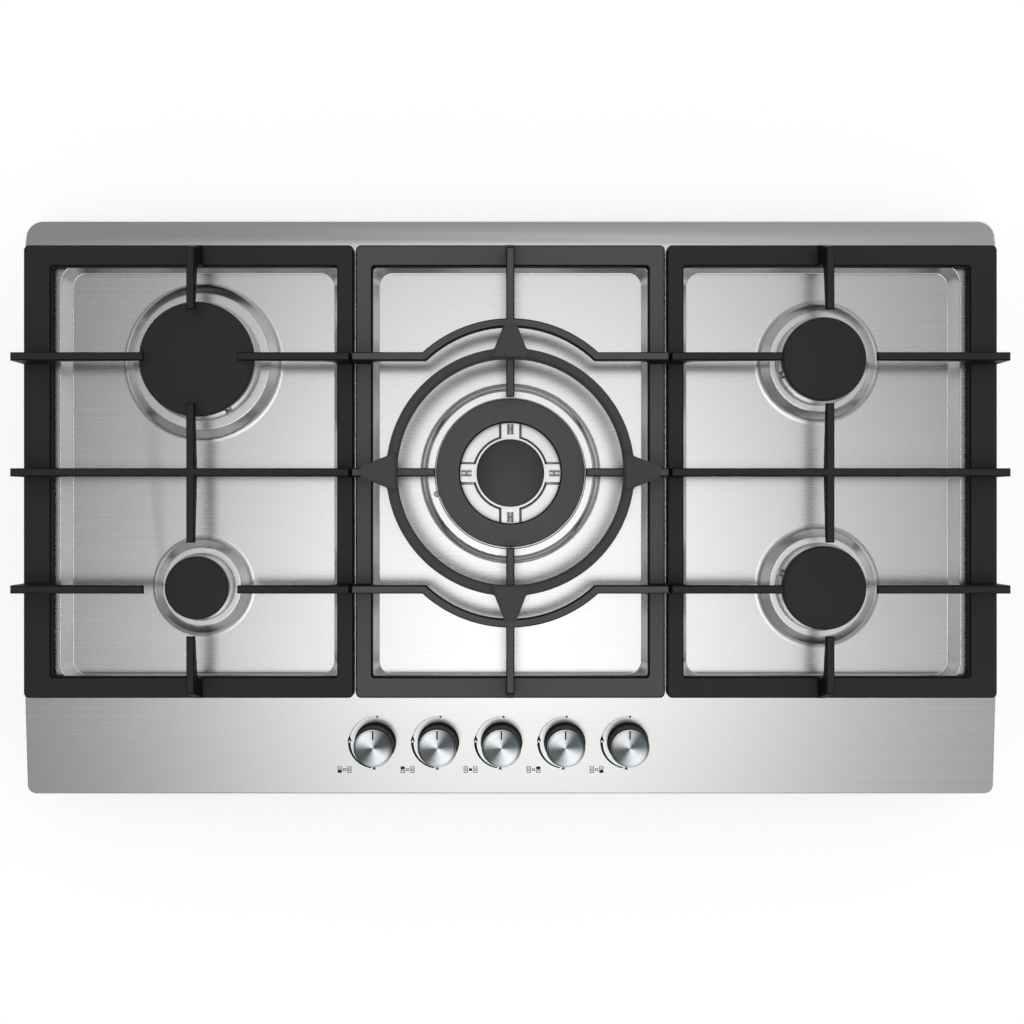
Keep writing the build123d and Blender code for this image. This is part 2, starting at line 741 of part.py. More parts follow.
def wok_ring():
    """The notches in the lugs rest on the fingers, and the arms reach outwards and up."""
    notch_top = bar_z + seat_gap
    band_low = notch_top + lug_prong - notch_depth
    band_top = band_low + ring_height
    outer = ring_outer / 2
    inner = outer - ring_band
    ring = tube_ring(inner, outer, band_low, band_top)
    ring = fillet(ring.edges(), ring_round)
    arm_start = Plane(origin=(inner, 0, band_top), x_dir=(0, 1, 0), z_dir=(1, 0, 0))
    arm_end = Plane(origin=(lug_reach, 0, band_top + lug_rise), x_dir=(0, 1, 0), z_dir=(1, 0, 0))
    start_height = ring_height * 0.7
    start = arm_start * Pos(0, lug_shoulder - start_height / 2) * Rectangle(lug_width, start_height)
    end = arm_end * Pos(0, -lug_tip_height / 2) * Rectangle(lug_tip, lug_tip_height)
    arm = loft([start, end])
    arm = fillet(arm.edges().filter_by(lambda e: abs(e.center().X - inner) > 1), 1.5)
    block = Pos((inner + outer) / 2, 0, band_low + ring_height / 2 - lug_prong / 2) * Box(
        ring_band, lug_width * 0.8, ring_height + lug_prong)
    block = chamfer(block.edges().filter_by(Axis.X).group_by(Axis.Z)[0], lug_prong * 0.8)
    notch = Pos((inner + outer) / 2, 0, notch_top - notch_depth / 2) * Box(
        3 * ring_band, bar_width + 2 * slip_gap, notch_depth + 0.01)
    ring += around(4, arm + block)
    ring -= around(4, notch)
    return wok.place * ring


# --- knobs, each on the spindle of its valve, drawn on the apron's slope ---

def d_outline(radius, flat):
    """A round section with a flat towards the rear."""
    cut = Pos(0, 2 * radius - flat) * Rectangle(2 * radius, 2 * radius)
    return Circle(radius) - cut


def knurled(diameter):
    """A round outline with fine teeth all round."""
    crest = diameter / 2
    points = []
    for i in range(2 * knob_teeth):
        turn = math.pi * i / knob_teeth
        radius = crest - tooth_depth * (i % 2)
        points.append((radius * math.cos(turn), radius * math.sin(turn)))
    return make_face(Polyline(*points, close=True))


bezel_clear = 0.4
knob_low = bezel_thick + knob_travel + bezel_clear
hollow_top = bezel_boss_height + knob_travel + bezel_clear + 0.6
body_top = knob_height - disc_thick
plug_top = -valve_depth - 1.3
plug_low = plug_top - plug_height
spindle_low = plug_top - plug_height + knob_travel + 2.0


def knob():
    """Turned grip, hollow below to take the bezel's boss, with a socket for the spindle."""
    crest = knob_diameter / 2
    grip = slab(knurled(knob_diameter), knob_low, body_top)
    grip &= spun([(0, knob_low), (crest - 0.6, knob_low), (crest, knob_low + 0.6), (crest - 0.3, body_top - 0.8),
                  (crest - 0.9, body_top), (0, body_top)])
    grip -= disc(crest - tooth_depth - knob_wall, knob_low - 1, hollow_top)
    socket = d_outline(spindle_diameter / 2 + stem_gap / 2, spindle_flat)
    return grip - slab(socket, hollow_top - 1, hollow_top + spindle_socket + stem_gap)


def knob_disc():
    """Spun metal face with the slot of the pointer line."""
    radius = disc_diameter / 2
    face = spun([(0, body_top), (radius, body_top), (radius, knob_height - 0.3), (radius - 0.3, knob_height),
                 (0, knob_height)])
    slot = Pos(0, radius - 1 - pointer_length / 2) * SlotOverall(pointer_length, pointer_width, rotation=90)
    return face - slab(slot, body_top - 1, knob_height + 1)


def spindle():
    """Flatted shaft that slides in the valve's plug and carries the knob."""
    return slab(d_outline(spindle_diameter / 2, spindle_flat), spindle_low, hollow_top + spindle_socket)


def valve_plug():
    """Turns in the valve with the spindle, which slides in its flatted hole."""
    plug = spun([(0, plug_low), (plug_diameter / 2 - 1, plug_low), (plug_diameter / 2, plug_top), (0, plug_top)])
    hole = d_outline(spindle_diameter / 2 + seat_gap, spindle_flat)
    return plug - slab(hole, spindle_low - knob_travel - 1, plug_top + 1)


def knob_bezel():
    """Ring on the plate below the knob, its neck through the plate's hole."""
    neck = bezel_neck / 2
    bore = spindle_diameter / 2 + slip_gap
    return spun([(bore, -plate_sheet - 4), (neck, -plate_sheet - 4), (neck, 0), (bezel_diameter / 2, 0),
                 (bezel_diameter / 2, bezel_thick - 0.4), (bezel_diameter / 2 - 0.4, bezel_thick),
                 (bezel_boss / 2, bezel_thick), (bezel_boss / 2 - 0.5, bezel_boss_height),
                 (bore, bezel_boss_height)])


def gas_valve():
    """Brass body with its cover, the plug's seat, and an outlet to the rear."""
    low = -valve_depth - valve_height
    body = slab(RectangleRounded(valve_width, valve_length, 3), low, -valve_depth)
    body += disc(valve_width / 2 - 1, -valve_depth - 1, -valve_depth + 2.5)
    seat = plug_diameter / 2 + seat_gap
    body -= spun([(0, plug_low - seat_gap), (seat - 1, plug_low - seat_gap), (seat, plug_top + seat_gap),
                  (0, plug_top + seat_gap)])
    body -= disc(spindle_diameter / 2 + seat_gap, plug_top, 0)
    outlet = Plane(origin=(0, valve_length / 2 - 1, -valve_depth - valve_height / 2), z_dir=(0, 1, 0))
    return body + extrude(outlet * Circle(outlet_diameter / 2), outlet_length + 1)


def ignition_switch():
    """Small switch on the front of a valve."""
    body = Pos(0, -valve_length / 2 - switch_length / 2, -valve_depth - switch_height / 2) * Box(
        switch_width, switch_length, switch_height)
    body = chamfer(body.edges().filter_by(Axis.X), 0.8)
    arm = Pos(0, -valve_length / 2 - 1.5, -valve_depth + 1) * Box(switch_width * 0.5, 1.5, 2.2)
    return body + arm


def gas_rail():
    """Square tube below the valves, with closed ends and two welded legs."""
    middle = -valve_depth - valve_height - rail_size / 2
    length = knob_xs[-1] - knob_xs[0] + 2 * rail_overhang
    tube = Box(length, rail_size, rail_size)
    tube -= Box(length - 2 * rail_wall, rail_size - 2 * rail_wall, rail_size - 2 * rail_wall)
    rail = knob_frame(knob_middle) * Pos(0, 0, middle) * tube
    foot = rail_foot()
    leg_height = foot.Z - box_sheet
    for side in sides:
        x = knob_middle + side * (length / 2 - rail_leg)
        rail += Pos(x, foot.Y, box_sheet + leg_height / 2) * Box(rail_leg, rail_size * 0.7, leg_height)
        rail += Pos(x, foot.Y, box_sheet + 0.75) * Box(rail_leg, rail_size * 2, 1.5)
    return rail


def rail_foot():
    """A point inside the rail's lower wall, where its legs end."""
    depth = valve_depth + valve_height + rail_size - rail_wall / 2
    return (knob_frame(knob_middle) * Pos(0, 0, -depth)).position


# --- bottom box and what stands in it ---

def under_deck(drop):
    """All that lies below the plain deck and its two slopes, lowered by a distance."""
    half = plate_depth / 2
    side = make_face(Polyline((-half, 0), (-half, deck_z - edge_drop), (apron_break, deck_z),
                              (half - rear_strip, deck_z), (half, deck_z - edge_drop), (half, 0), close=True))
    return Pos(0, 0, -drop) * extrude(Plane.YZ * side, plate_width / 2, both=True)


inlet_x = box_width / 2 - recess_width / 2
inlet_y = box_depth / 2 - recess_depth / 2
inlet_top = recess_height + box_sheet
supply_z = inlet_top + nut_height + supply_diameter / 2


def bottom_box():
    """Folded sheet box, stepped up over the gas inlet, vented below and open under the plate."""
    corner = Pos(inlet_x, inlet_y) * Rectangle(recess_width, recess_depth)
    corner_inside = Pos(inlet_x, inlet_y) * Rectangle(recess_width + 2 * box_sheet, recess_depth + 2 * box_sheet)
    box = slab(RectangleRounded(box_width, box_depth, box_corner), 0, deck_z) - slab(corner, 0, recess_height)
    hollow = slab(RectangleRounded(box_width - 2 * box_sheet, box_depth - 2 * box_sheet, box_corner - box_sheet),
                  box_sheet, deck_z + 1)
    box -= hollow - slab(corner_inside, 0, inlet_top)
    box &= under_deck(plate_sheet + seat_gap)
    for side in sides:
        for i in range(vent_count):
            x = side * box_width / 4 + vent_pitch * (i - (vent_count - 1) / 2)
            box -= Pos(x, front_row - vent_length - 10) * slab(
                SlotOverall(vent_length, vent_width, rotation=90), -1, box_sheet + 1)
    box -= Pos(inlet_x, inlet_y, 0) * disc(stub_diameter / 2 - stub_shoulder + stem_gap, 0, inlet_top + 1)
    hole = Plane(origin=(gland_x, box_depth / 2 - 2 * box_sheet, gland_z), z_dir=(0, 1, 0))
    box -= extrude(hole * Circle(gland_diameter / 2 - 2.5), 4 * box_sheet)
    return box


def worktop_seal():
    """Foam strip inside the plate's turned-down edge, flush with the worktop."""
    inset = plate_sheet + plate_edge_round
    strip = plate_outline(inset) - plate_outline(inset + seal_width)
    return slab(strip, worktop_z, deck_z) & under_deck(plate_sheet)


def burner_rail(low_y, high_y):
    """Folded hat section that carries the cups of one column on the box's floor."""
    half = burner_rail_width / 2
    out = half + burner_rail_foot
    sheet = burner_rail_sheet
    low = box_sheet
    top = cup_floor_z
    hat = make_face(Polyline(
        (-out, low), (-out, low + sheet), (-half, low + sheet), (-half, top), (half, top), (half, low + sheet),
        (out, low + sheet), (out, low), (half - sheet, low), (half - sheet, top - sheet),
        (sheet - half, top - sheet), (sheet - half, low), close=True))
    return Pos(0, high_y, 0) * extrude(Plane.XZ * hat, high_y - low_y)


def inlet_elbow():
    """Brass elbow: a threaded stub down through the recess, a hexagon above and an outlet forwards."""
    stub = disc(stub_diameter / 2, recess_height - stub_length, recess_height)
    stub += disc(stub_diameter / 2 - stub_shoulder, recess_height, inlet_top)
    body = slab(RegularPolygon(nut_across / 2, 6), inlet_top, supply_z + supply_diameter / 2 + elbow_wall)
    mouth = Plane(origin=(0, 0, supply_z), z_dir=(0, -1, 0))
    body += extrude(mouth * Circle(supply_diameter / 2 + elbow_wall), nut_across / 2 + elbow_mouth)
    bore = disc(stub_bore / 2, recess_height - stub_length - 1, inlet_top + elbow_mouth)
    return Pos(inlet_x, inlet_y, 0) * (stub + body - bore)


def supply_pipe():
    """From the elbow along the right side to the end of the gas rail."""
    depth = valve_depth + valve_height + rail_size / 2
    end = (knob_frame(knob_middle) * Pos(0, 0, -depth)).position
    rail_end = knob_xs[-1] + rail_overhang
    start_y = inlet_y - nut_across / 2 - elbow_mouth
    return pipe([(inlet_x, start_y, supply_z), (inlet_x, end.Y + 3 * supply_bend, supply_z),
                 (inlet_x, end.Y, end.Z), (rail_end, end.Y, end.Z)], supply_bend, supply_diameter)


def feed_pipe(b, knob_x):
    """From one valve's outlet to its cup, clear of the other cups and of the burner rails' tops."""
    outlet = knob_frame(knob_x) * Pos(0, valve_length / 2 + outlet_length, -valve_depth - valve_height / 2)
    start = outlet.position
    ahead = (outlet * Pos(0, 1.3 * pipe_bend, 0)).position
    cup_end = (b.x, b.y - b.cup - inlet_boss_length, pipe_z)
    points = [start, ahead]
    side = math.copysign(1, b.x)
    if b is wok:
        points.append((b.x, b.y - b.cup - 3.5 * pipe_bend, pipe_z))
    elif b.y < pan_middle:
        points.append((b.x, b.y - 5.5 * pipe_bend, pipe_z))
    else:
        points.append((side * (pan_pitch - pipe_aside), front_row + 2.5 * pipe_bend, pipe_z))
        points.append((side * (pan_pitch - pipe_aside), rear_row - 7.5 * pipe_bend, pipe_z))
        points.append((b.x, b.y - b.cup - inlet_boss_length - 2.3 * pipe_bend, pipe_z))
    return pipe(points + [cup_end], pipe_bend, pipe_diameter)


module_x = module_setback - box_width / 2
module_y = box_depth / 2 - module_back
lead_z = 14.0


def ignition_module():
    """Sealed spark generator on the box's floor, with a flanged foot."""
    body = Pos(module_x, module_y, box_sheet + module_height / 2) * Box(module_width, module_length, module_height)
    body = fillet(body.edges().filter_by(Axis.Z), 3)
    body = fillet(body.edges().group_by(Axis.Z)[-1], 1.5)
    foot = Pos(module_x, module_y) * RectangleRounded(module_width + 14, module_length * 0.5, 3)
    return body + slab(foot, box_sheet, box_sheet + 2)


def ignition_leads():
    """Leads from the module along the box's floor and up to each electrode, and one to the switches."""
    right = module_x + module_width / 2
    front = module_y - module_length / 2
    up = worktop_z - lead_height
    leads = []

    def lead(points):
        leads.append(pipe(points, lead_bend, lead_diameter))

    def ends(b):
        place = b.spark_place().position
        return [(place.X, place.Y, lead_z), (place.X, place.Y, up)]

    for b, lane in ((rapid, -12), (wok, 0), (semi_rear, 12)):
        y = module_y + lane
        lead([(right, y, lead_z), (ends(b)[0][0], y, lead_z)] + ends(b))
    y = module_y + 6
    aside = ends(semi_front)[0][0] - 2.3 * lead_bend
    lead([(right, y, lead_z), (aside, y, lead_z), (aside, ends(semi_front)[0][1], lead_z)] + ends(semi_front))
    x = module_x + 10
    lead([(x, front, lead_z), (x, ends(aux)[0][1], lead_z)] + ends(aux))
    switch = knob_frame(knob_xs[0]) * Pos(-switch_width / 2, -valve_length / 2 - switch_length / 2,
                                          -valve_depth - switch_height / 2)
    place = switch.position
    x = module_x - 20
    lead([(x, front, lead_z), (x, place.Y, lead_z), (place.X - 6 * lead_bend, place.Y, lead_z),
          (place.X - 3 * lead_bend, place.Y, place.Z), (place.X, place.Y, place.Z)])
    return leads


def clamp_place(x, side):
    """On the front or rear wall of the box, looking outwards along Y."""
    return Pos(x, side * box_depth / 2, 0) * Rot(0, 0, 0 if side > 0 else 180)


def fixing_clamp():
    """Angle whose arm reaches under the worktop, with a hole for its screw."""
    top = worktop_z - clamp_drop
    low = top - clamp_height
    angle = make_face(Polyline((0, low), (0, top), (clamp_reach, top), (clamp_reach, top - clamp_sheet),
                               (clamp_sheet, top - clamp_sheet), (clamp_sheet, low), close=True))
    clamp = extrude(Plane.YZ * angle, clamp_width / 2, both=True)
    hole = Plane(origin=(0, -1, top - clamp_height / 2), z_dir=(0, 1, 0))
    return clamp - extrude(hole * Circle(clamp_screw / 2), clamp_sheet + 2)


def fixing_screw():
    """Hexagon head screw in the clamp."""
    middle = worktop_z - clamp_drop - clamp_height / 2
    shank = Plane(origin=(0, 0, middle), z_dir=(0, 1, 0))
    head = Plane(origin=(0, clamp_sheet, middle), z_dir=(0, 1, 0))
    return extrude(shank * Circle(clamp_screw / 2), clamp_sheet) + extrude(
        head * RegularPolygon(clamp_screw, 6), clamp_screw * 0.7)


def mains_gland():
    """Grommet for the mains cord in the rear wall."""
    radius = gland_diameter / 2
    bore = gland_bore / 2
    gland = spun([(bore, -3), (radius - 3, -3), (radius - 3, box_sheet), (radius, box_sheet),
                  (radius, box_sheet + 2.5), (bore + 2, box_sheet + gland_reach), (bore, box_sheet + gland_reach)])
    wall = Plane(origin=(gland_x, box_depth / 2 - box_sheet, gland_z), x_dir=(1, 0, 0), z_dir=(0, 1, 0))
    return wall.location * gland


# --- every piece in its own file ---

def group(shapes):
    """Alike pieces kept together."""
    return Compound(children=[s for shape in shapes for s in shape.solids()])


save("top_plate", top_plate())
save("bottom_box", bottom_box())
save("worktop_seal", worktop_seal())

left_support, left_feet = side_support()
right_support = mirror(left_support, Plane.YZ)
middle_support, middle_feet = centre_support()
left_place = support_place * Pos(-side_frame_x, 0, 0)
left_pads = [left_place * pad for pad in support_feet(left_feet)]
save("support_left", left_place * left_support)
save("support_centre", support_place * middle_support)
save("support_right", support_place * Pos(side_frame_x, 0, 0) * right_support)
save("support_feet_left", group(left_pads))
save("support_feet_centre", group([support_place * pad for pad in support_feet(middle_feet)]))
save("support_feet_right", group([mirror(pad, Plane.YZ) for pad in left_pads]))
save("wok_ring", wok_ring())

save("burner_cups", group([burner_cup(b) for b in burners]))
save("injectors", group([injector(b) for b in burners]))
save("spark_electrodes", group([electrode(b) for b in burners]))
for b in burners:
    if b is not wok:
        save("flame_spreader_" + b.name, flame_spreader(b))
        save("burner_cap_" + b.name, burner_cap(b))
save("flame_spreader_centre", wok_spreader())
save("wok_outer_cap", wok_ring_cap())
save("wok_inner_cap", wok_inner_cap())

grip, face, shaft, plug = knob(), knob_disc(), spindle(), valve_plug()
for b, x in zip(burners, knob_xs):
    save("knob_" + b.name, knob_frame(x) * grip)
    save("knob_disc_" + b.name, knob_frame(x) * face)
    save("spindle_" + b.name, knob_frame(x) * shaft)
    save("valve_plug_" + b.name, knob_frame(x) * plug)
save("knob_bezels", group([knob_frame(x) * knob_bezel() for x in knob_xs]))
save("gas_valves", group([knob_frame(x) * gas_valve() for x in knob_xs]))
save("ignition_switches", group([knob_frame(x) * ignition_switch() for x in knob_xs]))
save("gas_rail", gas_rail())
save("feed_pipes", group([feed_pipe(b, x) for b, x in zip(burners, knob_xs)]))
save("supply_pipe", supply_pipe())
save("inlet_elbow", inlet_elbow())

side_rail = burner_rail(front_row - burner_rail_margin, rear_row + burner_rail_margin)
centre_rail = burner_rail(pan_middle - 2 * burner_rail_margin, pan_middle + 2 * burner_rail_margin)
save("burner_rails", group([Pos(-pan_pitch, 0, 0) * side_rail, centre_rail, Pos(pan_pitch, 0, 0) * side_rail]))
save("ignition_module", ignition_module())
save("ignition_leads", group(ignition_leads()))
clamps = [clamp_place(x * clamp_x, y) for x in sides for y in sides]
save("fixing_clamps", group([place * fixing_clamp() for place in clamps]))
save("clamp_screws", group([place * fixing_screw() for place in clamps]))
save("mains_gland", mains_gland())
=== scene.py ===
import bpy
import bmesh
import json
import math
from mathutils import Matrix, Vector


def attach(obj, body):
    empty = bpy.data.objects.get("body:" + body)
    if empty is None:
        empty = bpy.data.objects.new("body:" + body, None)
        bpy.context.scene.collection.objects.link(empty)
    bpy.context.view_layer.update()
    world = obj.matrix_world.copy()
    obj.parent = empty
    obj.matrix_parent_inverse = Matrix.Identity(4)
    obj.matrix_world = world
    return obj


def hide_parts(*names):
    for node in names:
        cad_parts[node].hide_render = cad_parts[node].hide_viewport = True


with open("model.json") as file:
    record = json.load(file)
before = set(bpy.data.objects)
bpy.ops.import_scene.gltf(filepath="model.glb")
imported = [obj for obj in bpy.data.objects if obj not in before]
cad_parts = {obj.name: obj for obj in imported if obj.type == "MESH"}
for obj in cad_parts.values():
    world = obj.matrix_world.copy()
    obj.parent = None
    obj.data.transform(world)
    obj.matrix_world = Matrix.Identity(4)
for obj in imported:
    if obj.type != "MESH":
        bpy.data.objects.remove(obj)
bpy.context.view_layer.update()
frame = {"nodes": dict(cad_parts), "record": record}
nodes = frame["nodes"]
mm = 0.001
print("frame loaded:", len(nodes), "nodes")

# camera, straight above the hob
cameraSetup = {"height": 1.110, "lens": 41.7, "sensor": 36, "shift": (0.0016, -0.0044)}
cameraData = bpy.data.cameras.new("camera")
cameraData.lens = cameraSetup["lens"]
cameraData.sensor_width = cameraSetup["sensor"]
cameraData.shift_x, cameraData.shift_y = cameraSetup["shift"]
cameraObject = bpy.data.objects.new("camera", cameraData)
cameraObject.location = (0, 0, cameraSetup["height"])
bpy.context.scene.collection.objects.link(cameraObject)
bpy.context.scene.camera = cameraObject
bpy.context.scene.view_settings.view_transform = "Standard"


# small tools for node trees
def link(tree, source, target):
    tree.links.new(source, target)


def feed(tree, value, socket):
    # numbers and tuples are written into the socket, anything else is linked to it
    if isinstance(value, (int, float)):
        socket.default_value = value
    elif isinstance(value, tuple):
        socket.default_value = value if len(value) == len(socket.default_value) else (*value, 1)
    else:
        link(tree, value, socket)


def addNode(tree, kind, **settings):
    node = tree.nodes.new(kind)
    for name, value in settings.items():
        setattr(node, name, value)
    return node


def mathNode(tree, operation, *values):
    node = addNode(tree, "ShaderNodeMath", operation=operation)
    for value, socket in zip(values, node.inputs):
        feed(tree, value, socket)
    return node.outputs[0]


def plus(tree, first, second):
    return mathNode(tree, "ADD", first, second)


def minus(tree, first, second):
    return mathNode(tree, "SUBTRACT", first, second)


def times(tree, first, second):
    return mathNode(tree, "MULTIPLY", first, second)


def mixed(tree, first, second, share):
    # the given share of the first value and the rest of the second
    return plus(tree, times(tree, first, share), times(tree, second, 1 - share))


def mapRange(tree, value, fromLow, fromHigh, toLow, toHigh, smooth=False):
    kind = "SMOOTHSTEP" if smooth else "LINEAR"
    node = addNode(tree, "ShaderNodeMapRange", interpolation_type=kind)
    labels = ("Value", "From Min", "From Max", "To Min", "To Max")
    for label, number in zip(labels, (value, fromLow, fromHigh, toLow, toHigh)):
        feed(tree, number, node.inputs[label])
    return node.outputs["Result"]


def mixColour(tree, factor, first, second):
    node = addNode(tree, "ShaderNodeMix", data_type="RGBA")
    sockets = (node.inputs[0], node.inputs[6], node.inputs[7])
    for value, socket in zip((factor, first, second), sockets):
        feed(tree, value, socket)
    return node.outputs[2]


def stretched(tree, vector, factors):
    node = addNode(tree, "ShaderNodeVectorMath", operation="MULTIPLY")
    feed(tree, vector, node.inputs[0])
    feed(tree, factors, node.inputs[1])
    return node.outputs[0]


def noiseAt(tree, vector, scale, detail, rough):
    node = addNode(tree, "ShaderNodeTexNoise")
    for label, value in zip(("Vector", "Scale", "Detail", "Roughness"), (vector, scale, detail, rough)):
        feed(tree, value, node.inputs[label])
    return node.outputs["Fac"]


def objectPlace(tree):
    return addNode(tree, "ShaderNodeTexCoord").outputs["Object"]


def newGroup(name, inputs, outputs):
    tree = bpy.data.node_groups.new(name, "ShaderNodeTree")
    for label, value in inputs.items():
        kind = "NodeSocketVector" if isinstance(value, tuple) else "NodeSocketFloat"
        socket = tree.interface.new_socket(name=label, in_out="INPUT", socket_type=kind)
        socket.default_value = value
    for label in outputs:
        tree.interface.new_socket(name=label, in_out="OUTPUT", socket_type="NodeSocketFloat")
    return tree, tree.nodes.new("NodeGroupInput"), tree.nodes.new("NodeGroupOutput")


# effects that several finishes share
grainSetup = {"fineShare": 0.7, "broadStretch": (0.5, 0.35, 0.35)}
skinSetup = {"pitScale": 0.6, "pitReach": 0.35, "patchScale": 14.0, "peelShare": 0.4}
handlingSetup = {"smallScale": 7.0, "broadShare": 0.75}


def makeBrushedGrain():
    # long scratches along one axis: Stretch holds the number of lines per metre on each axis
    tree, source, sink = newGroup("brushedGrain", {"Stretch": (6.0, 1500.0, 1500.0), "Contrast": 1.0},
                                  ["Tone", "Height"])
    lines = stretched(tree, objectPlace(tree), source.outputs["Stretch"])
    fine = noiseAt(tree, lines, 1.0, 2.0, 0.6)
    wide = noiseAt(tree, stretched(tree, lines, grainSetup["broadStretch"]), 1.0, 3.0, 0.6)
    centred = minus(tree, mixed(tree, fine, wide, grainSetup["fineShare"]), 0.5)
    link(tree, plus(tree, times(tree, centred, source.outputs["Contrast"]), 0.5), sink.inputs["Tone"])
    link(tree, fine, sink.inputs["Height"])
    return tree


def makeCastSkin():
    # the fine orange peel of an enamelled or bare casting
    tree, source, sink = newGroup("castSkin", {"Scale": 900.0, "Pits": 0.3}, ["Tone", "Height"])
    place = objectPlace(tree)
    peel = noiseAt(tree, place, source.outputs["Scale"], 3.0, 0.55)
    pits = addNode(tree, "ShaderNodeTexVoronoi")
    link(tree, place, pits.inputs["Vector"])
    link(tree, times(tree, source.outputs["Scale"], skinSetup["pitScale"]), pits.inputs["Scale"])
    hollow = mapRange(tree, pits.outputs["Distance"], 0.0, skinSetup["pitReach"], 0.0, 1.0)
    deep = times(tree, minus(tree, 1.0, hollow), source.outputs["Pits"])
    link(tree, minus(tree, peel, deep), sink.inputs["Height"])
    patches = noiseAt(tree, place, skinSetup["patchScale"], 4.0, 0.6)
    link(tree, mixed(tree, peel, patches, skinSetup["peelShare"]), sink.inputs["Tone"])
    return tree


def makeHandling():
    # faint smears and wiping marks, a value round one half
    tree, source, sink = newGroup("handling", {"Size": 9.0, "Amount": 0.2}, ["Value"])
    place = objectPlace(tree)
    broad = noiseAt(tree, place, source.outputs["Size"], 4.0, 0.55)
    smallSize = times(tree, source.outputs["Size"], handlingSetup["smallScale"])
    small = noiseAt(tree, place, smallSize, 2.0, 0.5)
    centred = minus(tree, mixed(tree, broad, small, handlingSetup["broadShare"]), 0.5)
    link(tree, plus(tree, times(tree, centred, source.outputs["Amount"]), 0.5), sink.inputs["Value"])
    return tree


effects = {"grain": makeBrushedGrain(), "skin": makeCastSkin(), "handling": makeHandling()}


def useEffect(tree, name, **values):
    node = addNode(tree, "ShaderNodeGroup", node_tree=effects[name])
    for label, value in values.items():
        feed(tree, value, node.inputs[label])
    return node


# builders of finishes
finishes = {}
bumpDepth = 0.0002  # metres
metalSetup = {"smearSize": 7.0, "grainShare": 0.35, "slopeShare": 0.25}
castingSetup = {"smearSize": 11.0, "smears": 0.5}


def startFinish(name, metallic, **constants):
    material = bpy.data.materials.new(name)
    material.use_nodes = True
    tree = material.node_tree
    shader = tree.nodes["Principled BSDF"]
    shader.inputs["Metallic"].default_value = metallic
    for label, value in constants.items():
        shader.inputs[label.replace("_", " ")].default_value = value
    return material, tree, shader


def bumpFrom(tree, shader, height, strength, distance=bumpDepth):
    bump = addNode(tree, "ShaderNodeBump")
    bump.inputs["Strength"].default_value = strength
    bump.inputs["Distance"].default_value = distance
    link(tree, height, bump.inputs["Height"])
    link(tree, bump.outputs["Normal"], shader.inputs["Normal"])


def glossFrom(tree, shader, value, roughness, low=0.3, high=0.7):
    link(tree, mapRange(tree, value, low, high, *roughness), shader.inputs["Roughness"])


def tangentFrom(tree, shader, mapName):
    way = addNode(tree, "ShaderNodeTangent", direction_type="UV_MAP", uv_map=mapName)
    link(tree, way.outputs["Tangent"], shader.inputs["Tangent"])


def steepShare(tree):
    return addNode(tree, "ShaderNodeAttribute", attribute_name="steep").outputs["Fac"]


def brushedFinish(name, dark, light, stretch, roughness, contrast=1.2, bump=0.12, anisotropy=0.0,
                  tangent=None, smears=0.25):
    # metal with a grain: tone, gloss and bump come from the same scratches, which fade on slopes
    material, tree, shader = startFinish(name, 1.0, Anisotropic=anisotropy)
    steep = steepShare(tree)
    slopeShare = metalSetup["slopeShare"]
    strength = mapRange(tree, steep, 0.0, 1.0, contrast, contrast * slopeShare)
    grain = useEffect(tree, "grain", Stretch=stretch, Contrast=strength)
    marks = useEffect(tree, "handling", Size=metalSetup["smearSize"], Amount=smears)
    link(tree, mixColour(tree, grain.outputs["Tone"], dark, light), shader.inputs["Base Color"])
    glossFrom(tree, shader, mixed(tree, grain.outputs["Tone"], marks.outputs["Value"],
                                  metalSetup["grainShare"]), roughness)
    fade = mapRange(tree, steep, 0.0, 1.0, 1.0, slopeShare)
    bumpFrom(tree, shader, times(tree, grain.outputs["Height"], fade), bump)
    if tangent:
        tangentFrom(tree, shader, tangent)
    return material


def castFinish(name, dark, light, roughness, scale=900.0, pits=0.3, bump=0.12, metallic=0.0, coat=0.0,
               specular=0.5, distance=bumpDepth, sides=1.0):
    # enamel, bare iron or moulded plastic: a peel with tone and gloss that wander a little;
    # sides paints shade: faces that turn away from the top keep only that share of the tone and shine
    material, tree, shader = startFinish(name, metallic, Coat_Weight=coat, Specular_IOR_Level=specular)
    skin = useEffect(tree, "skin", Scale=scale, Pits=pits)
    marks = useEffect(tree, "handling", Size=castingSetup["smearSize"], Amount=castingSetup["smears"])
    tone = mixColour(tree, skin.outputs["Tone"], dark, light)
    # painted shade: steep faces get a darker tone and less shine than the top
    if sides < 1.0:
        steep = steepShare(tree)
        tone = mixColour(tree, steep, tone, tuple(value * sides for value in dark))
        shadedShine = mapRange(tree, steep, 0.0, 1.0, specular, specular * sides)
        link(tree, shadedShine, shader.inputs["Specular IOR Level"])
    link(tree, tone, shader.inputs["Base Color"])
    glossFrom(tree, shader, marks.outputs["Value"], roughness)
    bumpFrom(tree, shader, skin.outputs["Height"], bump, distance)
    return material


